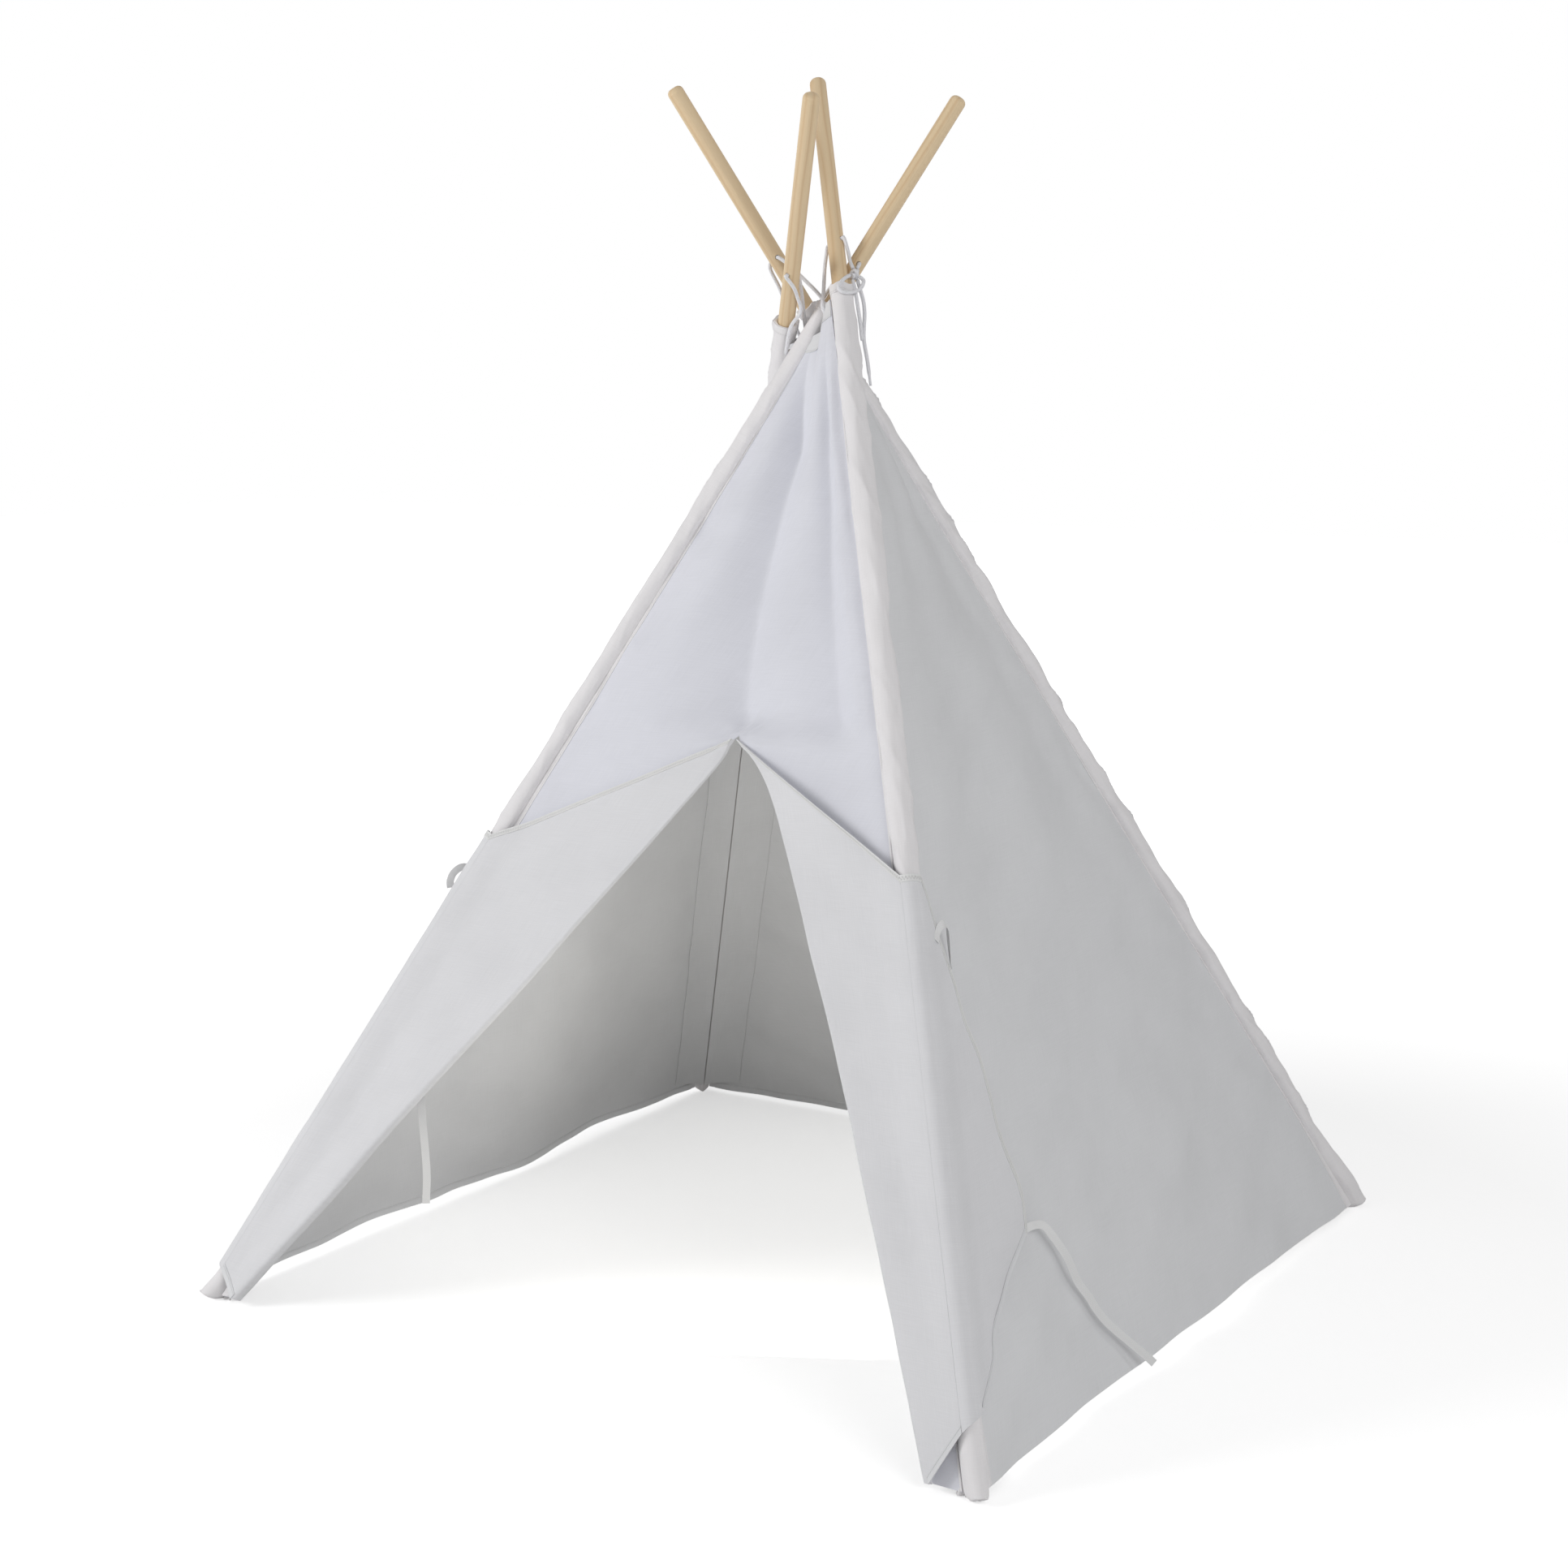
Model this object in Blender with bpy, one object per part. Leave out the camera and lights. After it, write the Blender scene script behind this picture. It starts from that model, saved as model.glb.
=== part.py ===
"""Kids teepee: four round poles that cross at the top, a canvas cover with a sleeve for each pole, and
a front that opens in two flaps, folded back round the front poles and held by tapes.

Metres, +Z up. The origin is on the floor, midway between the four feet. The door faces -Y."""

import math

import bmesh
import bpy
from mathutils import Vector

# Poles
BASE_WIDTH = 1.164
BASE_DEPTH = 1.190
POLE_DIAMETER = 0.022
POLE_LENGTH = 1.860
CROWN_FROM_TIP = 0.31133
POLE_TIP_ROUNDING = 0.007
CORD_HOLE_DIAMETER = 0.0066
CORD_HOLE_FROM_TIP = 0.255
# Compass bearing that each cord hole faces, turned from +X towards +Y
CORD_HOLE_BEARINGS = {
    "front_left": math.radians(-45),
    "front_right": math.radians(-15),
    "rear_right": math.radians(-47),
    "rear_left": math.radians(-86),
}
# Corner of each foot, how far it stands from that corner of the base, and where its pole passes the
# crown height, in shares of the pole's diameter
CORNERS = {
    "front_left": (-1, -1),
    "front_right": (1, -1),
    "rear_right": (1, 1),
    "rear_left": (-1, 1),
}
FOOT_SHIFTS = {
    "front_left": (0.0128, 0.0121),
    "front_right": (0.0096, -0.0125),
    "rear_right": (-0.0085, -0.0098),
    "rear_left": (-0.0122, 0.0088),
}
CROWN_PLACE_SHARES = {
    "front_left": (1.72, 0.155),
    "front_right": (3.02, -1.205),
    "rear_right": (-1.00, 0.77),
    "rear_left": (-0.39, -1.66),
}

# Cover
CLOTH_THICKNESS = 0.0012
SEAT_GAP = 0.0003
SLEEVE_DIAMETER = 0.027
SLEEVE_BORE_CLEARANCE = 0.0005
SLEEVE_RIPPLE = 0.0018
SLEEVE_RIPPLE_LENGTH = 0.16
# How far the sleeve of each pole stops below the cord hole
SLEEVE_BELOW_HOLE = {
    "front_left": 0.066,
    "front_right": 0.070,
    "rear_right": 0.076,
    "rear_left": 0.076,
}
PANEL_PROUD = 0.004
# How far each panel stops below the lower of its two sleeves
PANEL_BELOW_SLEEVE = {"front": 0.050, "right": 0.034, "back": 0.036, "left": 0.040}
SEAM_GAP = 0.0007
HEM_HEIGHT = 0.005
HEM_BOW = 0.006
FOLD_DEPTH = 0.020
# The folds run out towards the sleeves and the top over these shares of the panel, and the front's also
# over this length above the door's point
FOLD_SIDE_FADE_SHARE = 0.25
FOLD_TOP_FADE_SHARE = 0.20
FOLD_FADE = 0.22
# The main folds of each panel: place across the hem, place across the top, half width and depth, in
# shares of the panel's width and of FOLD_DEPTH, inwards where negative
FOLD_SHARES = {
    "front": ((0.60, 0.44, 0.10, -0.85), (0.36, 0.30, 0.12, 0.45), (0.86, 0.66, 0.10, 0.50)),
    "right": ((0.30, 0.45, 0.13, -0.40), (0.58, 0.60, 0.10, 0.25), (0.86, 0.80, 0.07, -0.30)),
    "back": ((0.25, 0.40, 0.12, 0.35), (0.52, 0.50, 0.12, -0.45), (0.78, 0.62, 0.10, 0.30)),
    "left": ((0.22, 0.40, 0.10, 0.30), (0.47, 0.50, 0.13, -0.50), (0.75, 0.60, 0.12, 0.35)),
}

# Door: its point on the front, along the poles and across the width, and the width of each leg at the floor
DOOR_POINT_ALONG = 0.894
DOOR_POINT_SHARE = 0.545
LEFT_LEG_WIDTH = 0.041
RIGHT_LEG_WIDTH = 0.0575
FLAP_BELOW_DOOR_POINT = 0.006
FLAP_FLAT_LIFT = 0.0045
FLAP_CREASE_LIFT = 0.0004
FLAP_CREASE_WIDTH = 0.030
FLAP_WRAP_GAP = 0.0028
FLAP_HINGE_GAP = 0.0009
FLAP_BRIDGE_WIDTH = 0.050
FLAP_CORNER_ROUND_SHARE = 0.06
# Along each front pole: where the flap's hem and its slit edge pass over, then its free corner on the
# side panel, along the pole and across from it
FLAP_PLACES = {
    "left": (0.038, 0.721, 0.255, 0.180),
    "right": (0.086, 0.722, 0.247, 0.177),
}
SLIT_BOW = 0.035

# Eyelets
EYELET_FROM_TOP = 0.018
EYELET_HOLE_DIAMETER = 0.0075
EYELET_BARREL_DIAMETER = 0.0092
EYELET_FLANGE_DIAMETER = 0.0140
EYELET_RIM = 0.0006
EYELET_SEAT_GAP = 0.0009

# Cord: it runs straight this far past each hole and eyelet, and it is knotted beside the front right pole
CORD_DIAMETER = 0.0050
CORD_EXIT = 0.0035
KNOT_CENTRE = ("front_right", -0.05306, 0.01764, 0.00884, 0.00316)
KNOT_AXIS = (0.36, 0.93, -0.10)
KNOT_WRAP_DIAMETER = 0.0096
KNOT_PITCH = 0.0054
KNOT_TURNS = 1.8
# From the knot round to the knot. The poles' holes and panels' eyelets are gone through from the side that
# they face where the number is 1, and from behind where it is -1. The points between them have their
# distance above the cord hole of a pole, and how far they stand off that pole
LACING_ROUTE = (
    ("front_right", -0.04529, 0.01751, 0.00617, 0.0043),
    ("front_right", -0.03361, 0.01484, 0.00582, 0.00338),
    ("front_right", -0.01911, 0.01414, 0.00458, 0.00365),
    ("front_right", 1),
    ("front_right", -0.01045, -0.01427, -0.00102, -0.00528),
    ("front_right", -0.02935, -0.01999, 0.00009, -0.00808),
    ("front_left", -0.05419, -0.00624, -0.01831, 0.01112),
    ("front_left", -0.0741, 0.00694, -0.0222, 0.00674),
    ("front_left", -0.08418, 0.01867, -0.016, -0.00149),
    ("front_left", -0.09257, 0.01775, 0.00066, -0.00854),
    ("right", -1),
    ("front_left", -0.0724, 0.02207, 0.01386, -0.01648),
    ("front_left", -0.06347, 0.01109, 0.01299, -0.01098),
    ("front_left", -0.06785, -0.01161, 0.01894, -0.00311),
    ("rear_right", -0.07071, 0.02831, -0.00643, 0.01011),
    ("rear_right", -0.03647, 0.02232, -0.00973, 0.00594),
    ("rear_right", -0.01497, 0.01961, -0.01422, 0.00276),
    ("rear_right", 1),
    ("rear_right", -0.00816, -0.01757, 0.00439, -0.0061),
    ("rear_right", -0.03682, -0.01972, 0.00284, -0.00776),
    ("rear_right", -0.07113, -0.02386, -0.00059, -0.01113),
    ("rear_right", -0.10886, -0.02791, -0.00158, -0.01341),
    ("back", 1),
    ("rear_right", -0.11499, -0.00927, -0.02183, -0.01373),
    ("rear_right", -0.08382, 0.00625, -0.02286, -0.0071),
    ("rear_left", -0.04136, 0.00771, 0.01988, 0.00629),
    ("rear_left", -0.00719, 0.00214, 0.01384, 0.00582),
    ("rear_left", -1),
    ("rear_left", -0.01329, 0.00892, -0.00836, -0.0081),
    ("rear_left", -0.02991, 0.01303, -0.00205, -0.00685),
    ("rear_left", -0.05104, 0.01862, 0.00103, -0.00785),
    ("rear_left", -0.07324, 0.01212, -0.00964, -0.01016),
    ("left", 1),
    ("rear_left", -0.10407, 0.01963, 0.00677, -0.00548),
    ("front_left", -0.09525, -0.02071, 0.01317, 0.00371),
    ("front_left", -0.05742, -0.01848, 0.00591, 0.00594),
    ("front_left", -0.022, -0.0163, 0.00755, 0.00419),
    ("front_left", -1),
    ("front_right", -0.04377, 0.02164, 0.01149, 0.00359),
)
BOW_LOOP_ROUTE = (
    ("front_right", -0.05614, 0.01387, 0.00241, 0.0045),
    ("front_right", -0.06319, 0.01174, -0.0059, 0.00735),
    ("front_right", -0.0716, 0.00844, -0.01319, 0.00926),
    ("front_right", -0.07812, 0.00559, -0.0164, 0.00955),
    ("front_right", -0.08487, 0.00647, -0.01583, 0.00964),
    ("front_right", -0.08777, 0.01127, -0.01122, 0.00952),
    ("front_right", -0.08627, 0.01718, -0.00299, 0.00824),
    ("front_right", -0.08045, 0.02329, 0.00588, 0.00675),
    ("front_right", -0.07269, 0.02727, 0.00982, 0.00659),
    ("front_right", -0.06416, 0.02711, 0.01287, 0.00518),
    ("front_right", -0.05973, 0.02373, 0.00868, 0.00568),
)
SHORT_TAIL_ROUTE = (
    ("front_right", -0.06195, 0.01487, 0.00673, 0.00299),
    ("front_right", -0.07091, 0.01638, 0.00634, 0.00376),
    ("front_right", -0.08321, 0.01634, 0.00844, 0.00282),
    ("front_right", -0.10817, 0.01583, 0.01156, 0.00122),
    ("front_right", -0.12621, 0.01461, 0.01524, -0.00091),
    ("front_right", -0.14409, 0.01214, 0.01967, -0.00387),
)
LONG_TAIL_ROUTE = (
    ("front_right", -0.06014, 0.01859, 0.01314, 0.00163),
    ("front_right", -0.07516, 0.02001, 0.01537, 0.00121),
    ("front_right", -0.09099, 0.02095, 0.01851, 0.00019),
    ("front_right", -0.10666, 0.01865, 0.02219, -0.00237),
    ("front_right", -0.1214, 0.01377, 0.02601, -0.00603),
    ("front_right", -0.13703, 0.00928, 0.03047, -0.00983),
    ("front_right", -0.16226, 0.00578, 0.0405, -0.01569),
    ("front_right", -0.19026, 0.00102, 0.05078, -0.02218),
)

# Tapes: places on a panel, along the front pole, across from it and off the cloth, and the tape's turn
TAPE_WIDTH = 0.010
TAPE_THICKNESS = 0.0008
TAPE_STEP = 0.008
TAPE_PLACES = {
    "tie_right_upper": (
        "right", (
            (0.634, 0.0275, 0.0121, 0), (0.643, 0.0325, 0.0111, 0), (0.650, 0.0368, 0.0135, 5),
            (0.6515, 0.0430, 0.0165, 15), (0.6455, 0.0500, 0.0165, 30), (0.636, 0.0555, 0.0140, 45),
            (0.621, 0.0600, 0.0105, 45), (0.607, 0.0605, 0.0100, 40), (0.596, 0.0590, 0.0110, 30),
        ),
    ),
    "tie_right_lower": (
        "right", (
            (0.243, 0.1490, 0.0071, 0), (0.247, 0.1620, 0.0071, 0), (0.250, 0.1750, 0.0082, 5),
            (0.2495, 0.1900, 0.0120, 10), (0.2435, 0.2104, 0.0150, 15), (0.2264, 0.2250, 0.0160, 20),
            (0.1904, 0.2599, 0.0150, 35), (0.154, 0.2932, 0.0130, 50), (0.1281, 0.3152, 0.0120, 45),
            (0.1075, 0.3318, 0.0120, 30), (0.0837, 0.3543, 0.0130, 15), (0.049, 0.3872, 0.0160, 5),
            (0.0238, 0.4073, 0.0210, 0), (0.0060, 0.4220, 0.0250, 0),
        ),
    ),
    "tie_left_upper": (
        "left", (
            (0.632, 0.0300, 0.0117, 0), (0.641, 0.0330, 0.0111, 0), (0.6485, 0.0330, 0.0135, 5),
            (0.653, 0.0290, 0.0185, 15), (0.654, 0.0230, 0.0235, 30), (0.649, 0.0200, 0.0255, 40),
            (0.640, 0.0210, 0.0240, 40), (0.630, 0.0240, 0.0200, 30),
        ),
    ),
    "tie_inner_left": (
        "front", (
            (0.372, 0.0980, -0.0014, 0), (0.366, 0.1120, -0.0014, 0), (0.358, 0.1240, -0.0018, 0),
            (0.345, 0.1330, -0.0060, 10), (0.325, 0.1360, -0.0150, 20), (0.300, 0.1350, -0.0260, 30),
            (0.270, 0.1330, -0.0390, 40), (0.235, 0.1310, -0.0540, 45), (0.200, 0.1290, -0.0690, 50),
        ),
    ),
}

# Facets
POLE_SIDES = 24
SLEEVE_SIDES = 16
SLEEVE_RING_SPACING = 0.066
EYELET_SIDES = 16
CORD_HOLE_SIDES = 12
PANEL_COLUMNS = 16
PANEL_ROWS = 14
ROW_CROWDING_SHARE = 1.6
FLAP_ROWS = 12
FLAP_COLUMNS = 8
WRAP_COLUMNS = 5
CORD_RESOLUTION = 2
CORD_STEP_DIAMETERS = 3
KNOT_STEPS_PER_TURN = 10
TIP_STEPS = 4
CUT_OVERRUN = 0.010
MERGE_DISTANCE = 0.00001
SMOOTH_ANGLE = math.radians(40)

# Colour, roughness and metallic value of each material
FINISHES = {
    "pine": ((0.66, 0.47, 0.28), 0.55, 0.0),
    "canvas": ((0.80, 0.80, 0.81), 0.90, 0.0),
    "cord": ((0.84, 0.84, 0.85), 0.85, 0.0),
    "eyelet": ((0.45, 0.41, 0.36), 0.35, 1.0),
    "tape": ((0.86, 0.86, 0.86), 0.88, 0.0),
}


def crown_height():
    """How high the poles cross, with their feet at the base's corners."""
    reach = POLE_LENGTH - CROWN_FROM_TIP
    return math.sqrt(reach**2 - (BASE_WIDTH / 2) ** 2 - (BASE_DEPTH / 2) ** 2)


def clear_scene():
    for obj in list(bpy.data.objects):
        bpy.data.objects.remove(obj, do_unlink=True)


def make_materials():
    materials = {}
    for name, (colour, roughness, metallic) in FINISHES.items():
        material = bpy.data.materials.new(name)
        material.use_nodes = True
        shader = material.node_tree.nodes["Principled BSDF"]
        shader.inputs["Base Color"].default_value = (*colour, 1)
        shader.inputs["Roughness"].default_value = roughness
        shader.inputs["Metallic"].default_value = metallic
        materials[name] = material
    return materials


def smooth_step(share):
    share = min(max(share, 0), 1)
    return share * share * (3 - 2 * share)


def smooth_route(points, step):
    """Points about a step apart on a smooth curve through a cord's own points."""
    ends = [points[0] * 2 - points[1]] + list(points) + [points[-1] * 2 - points[-2]]
    route = []
    for before, start, end, after in zip(ends, ends[1:], ends[2:], ends[3:]):
        count = max(1, round((end - start).length / step))
        for index in range(count):
            t = index / count
            curve = start * 2 + (end - before) * t
            curve += (before * 2 - start * 5 + end * 4 - after) * t**2
            curve += (start * 3 - before - end * 3 + after) * t**3
            route.append(curve / 2)
    return route + [points[-1]]


class Pole:
    """The centre line of one pole, measured from where it meets the floor."""

    def __init__(self, name):
        x_side, y_side = CORNERS[name]
        x_share, y_share = CROWN_PLACE_SHARES[name]
        crown = Vector((x_share * POLE_DIAMETER, y_share * POLE_DIAMETER, crown_height()))
        radius = POLE_DIAMETER / 2
        self.name = name
        x_shift, y_shift = FOOT_SHIFTS[name]
        self.foot = Vector((x_side * BASE_WIDTH / 2 + x_shift, y_side * BASE_DEPTH / 2 + y_shift, 0))
        self.along = (crown - self.foot).normalized()
        self.lower_tip = (CLOTH_THICKNESS + SEAT_GAP + radius) / self.along.z - radius
        self.upper_tip = self.lower_tip + POLE_LENGTH
        self.hole = self.upper_tip - CORD_HOLE_FROM_TIP
        self.sleeve_top = self.hole - SLEEVE_BELOW_HOLE[name]

    def at(self, distance):
        return self.foot + self.along * distance

    def square_to(self, direction):
        """The part of a direction that is square to the pole, one long."""
        return (direction - self.along * direction.dot(self.along)).normalized()

    def nearest(self, other):
        """How far along this pole the other one passes closest."""
        lean = self.along.dot(other.along)
        apart = other.foot - self.foot
        return (apart.dot(self.along) - lean * apart.dot(other.along)) / (1 - lean * lean)


class Panel:
    """The cloth between two poles, seen from outside: across is metres from the left pole's centre
    line, along is the distance up both poles."""

    def __init__(self, name, left, right):
        self.name = name
        self.left = left
        self.right = right
        self.top = min(left.sleeve_top, right.sleeve_top) - PANEL_BELOW_SLEEVE[name]
        self.bottom = HEM_HEIGHT / left.along.z

    def span(self, along):
        return self.right.at(along) - self.left.at(along)

    def width(self, along):
        return self.span(along).length

    def normal(self, along):
        return self.span(along).cross(self.left.along + self.right.along).normalized()

    def edge(self, along, pole):
        """How far from a pole's centre line the cloth starts, just clear of its sleeve."""
        reach = SLEEVE_DIAMETER / 2 + SEAM_GAP
        inward = self.span(along).normalized() * (1 if pole is self.left else -1)
        proud = self.normal(along) * PANEL_PROUD
        inward -= pole.along * inward.dot(pole.along)
        proud -= pole.along * proud.dot(pole.along)
        lean = inward.dot(proud) / inward.dot(inward)
        return math.sqrt(lean**2 + (reach**2 - proud.dot(proud)) / inward.dot(inward)) - lean

    def fold(self, along, across):
        u = across / self.width(along)
        v = (along - self.bottom) / (self.top - self.bottom)
        depth = 0
        for low, high, half_width, share in FOLD_SHARES[self.name]:
            centre = low + (high - low) * v
            depth += share * math.exp(-(((u - centre) / half_width) ** 2))
        calm = smooth_step(min(u, 1 - u) / FOLD_SIDE_FADE_SHARE) * smooth_step((1 - v) / FOLD_TOP_FADE_SHARE)
        if self.name == "front":
            calm *= smooth_step((along - DOOR_POINT_ALONG) / FOLD_FADE)
        return depth * FOLD_DEPTH * calm

    def point(self, along, across, lift):
        """A point on the cloth's middle, lifted outwards."""
        base = self.left.at(along) + self.span(along).normalized() * across
        return base + self.normal(along) * (PANEL_PROUD + self.fold(along, across) + lift)

    def from_pole(self, pole, along, across, lift):
        """The same, with across measured from one of the two poles."""
        if pole is self.right:
            across = self.width(along) - across
        return self.point(along, across, lift)


POLES = {name: Pole(name) for name in CORNERS}
PANELS = {
    "front": Panel("front", POLES["front_left"], POLES["front_right"]),
    "right": Panel("right", POLES["front_right"], POLES["rear_right"]),
    "back": Panel("back", POLES["rear_right"], POLES["rear_left"]),
    "left": Panel("left", POLES["rear_left"], POLES["front_left"]),
}


def finish_object(name, mesh, material):
    bmesh.ops.recalc_face_normals(mesh, faces=mesh.faces)
    data = bpy.data.meshes.new(name)
    mesh.to_mesh(data)
    mesh.free()
    data.shade_smooth()
    data.set_sharp_from_angle(angle=SMOOTH_ANGLE)
    data.materials.append(material)
    obj = bpy.data.objects.new(name, data)
    bpy.context.scene.collection.objects.link(obj)
    return obj


def revolve(name, profile, sides, closed, material):
    """A body turned round Z from points of radius and height."""
    mesh = bmesh.new()
    verts = [mesh.verts.new((radius, 0, height)) for radius, height in profile]
    pairs = list(zip(verts, verts[1:]))
    if closed:
        pairs.append((verts[-1], verts[0]))
    edges = [mesh.edges.new(pair) for pair in pairs]
    bmesh.ops.spin(
        mesh, geom=verts + edges, cent=(0, 0, 0), axis=(0, 0, 1), angle=math.tau, steps=sides, use_merge=True
    )
    bmesh.ops.remove_doubles(mesh, verts=mesh.verts, dist=MERGE_DISTANCE)
    return finish_object(name, mesh, material)


def skin(name, rings, material):
    """A closed body through rings of points, with a face at each end."""
    mesh = bmesh.new()
    loops = [[mesh.verts.new(point) for point in ring] for ring in rings]
    for lower, upper in zip(loops, loops[1:]):
        for index in range(len(lower)):
            after = (index + 1) % len(lower)
            mesh.faces.new((lower[index], lower[after], upper[after], upper[index]))
    mesh.faces.new(loops[0])
    mesh.faces.new(loops[-1])
    return finish_object(name, mesh, material)


def cloth(name, grids, material, merge=False):
    """Sheets of points, each a list of rows, given the cloth's thickness."""
    mesh = bmesh.new()
    for rows in grids:
        verts = [[mesh.verts.new(point) for point in row] for row in rows]
        for lower, upper in zip(verts, verts[1:]):
            for index in range(len(lower) - 1):
                mesh.faces.new((lower[index], lower[index + 1], upper[index + 1], upper[index]))
    if merge:
        bmesh.ops.remove_doubles(mesh, verts=mesh.verts, dist=MERGE_DISTANCE)
    obj = finish_object(name, mesh, material)
    thicken = obj.modifiers.new("thickness", "SOLIDIFY")
    thicken.thickness = CLOTH_THICKNESS
    thicken.offset = 0
    return obj


def cord(name, route, material):
    """A tube along a route, with filled ends."""
    curve = bpy.data.curves.new(name, "CURVE")
    curve.dimensions = "3D"
    curve.bevel_depth = CORD_DIAMETER / 2
    curve.bevel_resolution = CORD_RESOLUTION
    curve.use_fill_caps = True
    spline = curve.splines.new("POLY")
    spline.points.add(len(route) - 1)
    for point, place in zip(spline.points, route):
        point.co = (*place, 1)
    curve.materials.append(material)
    obj = bpy.data.objects.new(name, curve)
    bpy.context.scene.collection.objects.link(obj)
    return obj


def cut(obj, cutter):
    """Cuts one object out of another, and keeps the cutter as a hidden guide."""
    boolean = obj.modifiers.new("cut_" + cutter.name, "BOOLEAN")
    boolean.operation = "DIFFERENCE"
    boolean.object = cutter
    cutter.hide_render = True
    cutter.display_type = "WIRE"


def hole_cutter(name, centre, direction, diameter, length, sides, material):
    half = length / 2
    profile = ((0, half), (diameter / 2, half), (diameter / 2, -half), (0, -half))
    cutter = revolve(name, profile, sides, False, material)
    cutter.location = centre
    cutter.rotation_mode = "QUATERNION"
    cutter.rotation_quaternion = direction.to_track_quat("Z", "Y")
    return cutter


def hole_direction(pole):
    bearing = CORD_HOLE_BEARINGS[pole.name]
    return pole.square_to(Vector((math.cos(bearing), math.sin(bearing), 0)))


def make_pole(pole, materials):
    """A dowel with a round foot, an eased tip and a cross hole for the cord, whose place is its origin."""
    radius = POLE_DIAMETER / 2
    top = pole.upper_tip - pole.hole
    bottom = pole.lower_tip - pole.hole
    flat = radius - POLE_TIP_ROUNDING
    profile = [(0, top)]
    for step in range(TIP_STEPS + 1):
        turn = step / TIP_STEPS * math.pi / 2
        height = top - POLE_TIP_ROUNDING + POLE_TIP_ROUNDING * math.cos(turn)
        profile.append((flat + POLE_TIP_ROUNDING * math.sin(turn), height))
    for step in range(TIP_STEPS + 1):
        turn = step / TIP_STEPS * math.pi / 2
        profile.append((radius * math.cos(turn), bottom + radius - radius * math.sin(turn)))
    name = "pole_" + pole.name
    obj = revolve(name, profile, POLE_SIDES, False, materials["pine"])
    obj.location = pole.at(pole.hole)
    obj.rotation_mode = "QUATERNION"
    obj.rotation_quaternion = pole.along.to_track_quat("Z", "Y")
    cutter = hole_cutter(
        name + "_hole", pole.at(pole.hole), hole_direction(pole), CORD_HOLE_DIAMETER,
        POLE_DIAMETER + CUT_OVERRUN * 2, CORD_HOLE_SIDES, materials["pine"],
    )
    cut(obj, cutter)
    return [obj, cutter]


def make_sleeve(pole, materials):
    """A cloth tube with a closed, flat pocket at the floor and a soft ripple along its outer side."""
    outward = pole.square_to(Vector((pole.foot.x, pole.foot.y, 0)))
    aside = pole.along.cross(outward)
    bore = POLE_DIAMETER / 2 + SLEEVE_BORE_CLEARANCE

    def ring(radius, distance, floor=None):
        points = []
        for side in range(SLEEVE_SIDES):
            turn = side / SLEEVE_SIDES * math.tau
            away = outward * math.cos(turn) + aside * math.sin(turn)
            reach = radius
            if floor is None and radius > bore:
                wave = math.sin(distance / SLEEVE_RIPPLE_LENGTH * math.tau + turn)
                wave += math.sin(distance / SLEEVE_RIPPLE_LENGTH * math.pi)
                reach += SLEEVE_RIPPLE * max(0, math.cos(turn)) ** 2 * (1 + wave / 2) / 2
            along = distance if floor is None else (floor - away.z * reach) / pole.along.z
            points.append(pole.at(along) + away * reach)
        return points

    outer = SLEEVE_DIAMETER / 2
    count = round(pole.sleeve_top / SLEEVE_RING_SPACING)
    rings = [ring(outer, 0, floor=0)]
    rings += [ring(outer, pole.sleeve_top * step / count) for step in range(1, count + 1)]
    rings += [ring(bore, pole.sleeve_top), ring(bore, 0, floor=CLOTH_THICKNESS)]
    return skin("sleeve_" + pole.name, rings, materials["canvas"])


def row_share(row, rows):
    """Rows crowd together towards the top, where the panels twist most."""
    return 1 - (1 - row / rows) ** ROW_CROWDING_SHARE


def hem_along(panel, share, along_share):
    """Distance up the poles of a row, whose lowest bows up towards the middle of the hem."""
    bow = HEM_BOW * 4 * share * (1 - share) * (1 - along_share)
    return panel.bottom + (panel.top - panel.bottom) * along_share + bow


def make_panel(panel, materials):
    """A whole panel, from sleeve to sleeve."""
    rows = []
    for row in range(PANEL_ROWS + 1):
        points = []
        for column in range(PANEL_COLUMNS + 1):
            share = column / PANEL_COLUMNS
            along = hem_along(panel, share, row_share(row, PANEL_ROWS))
            start = panel.edge(along, panel.left)
            end = panel.width(along) - panel.edge(along, panel.right)
            points.append(panel.point(along, start + (end - start) * share, 0))
        rows.append(points)
    return cloth(panel.name + "_panel", [rows], materials["canvas"])


def crease_across(along, side):
    """How far the door's crease lies from the front pole on its side."""
    front = PANELS["front"]
    share = min(1, (along - front.bottom) / (DOOR_POINT_ALONG - front.bottom))
    at_point = front.width(max(along, DOOR_POINT_ALONG)) * DOOR_POINT_SHARE
    if side == "right":
        at_point = front.width(max(along, DOOR_POINT_ALONG)) * (1 - DOOR_POINT_SHARE)
    leg = LEFT_LEG_WIDTH if side == "left" else RIGHT_LEG_WIDTH
    return leg + (at_point - leg) * share


def make_front_panel(materials):
    """The front, whose two legs frame the door and join above its point."""
    front = PANELS["front"]
    below = PANEL_ROWS // 2
    alongs = [front.bottom + (DOOR_POINT_ALONG - front.bottom) * row / below for row in range(below)]
    above = PANEL_ROWS - below
    upper = front.top - DOOR_POINT_ALONG
    alongs += [DOOR_POINT_ALONG + upper * row_share(row, above) for row in range(above + 1)]
    columns = PANEL_COLUMNS // 2
    grids = []
    for side, pole in (("left", front.left), ("right", front.right)):
        rows = []
        for along in alongs:
            edge = front.edge(along, pole)
            reach = crease_across(along, side) - edge
            shares = [column / columns for column in range(columns + 1)]
            rows.append([front.from_pole(pole, along, edge + reach * share, 0) for share in shares])
        grids.append(rows)
    return cloth("front_panel", grids, materials["canvas"], merge=True)


def wrap_radius():
    return SLEEVE_DIAMETER / 2 + SLEEVE_RIPPLE + FLAP_WRAP_GAP


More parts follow.
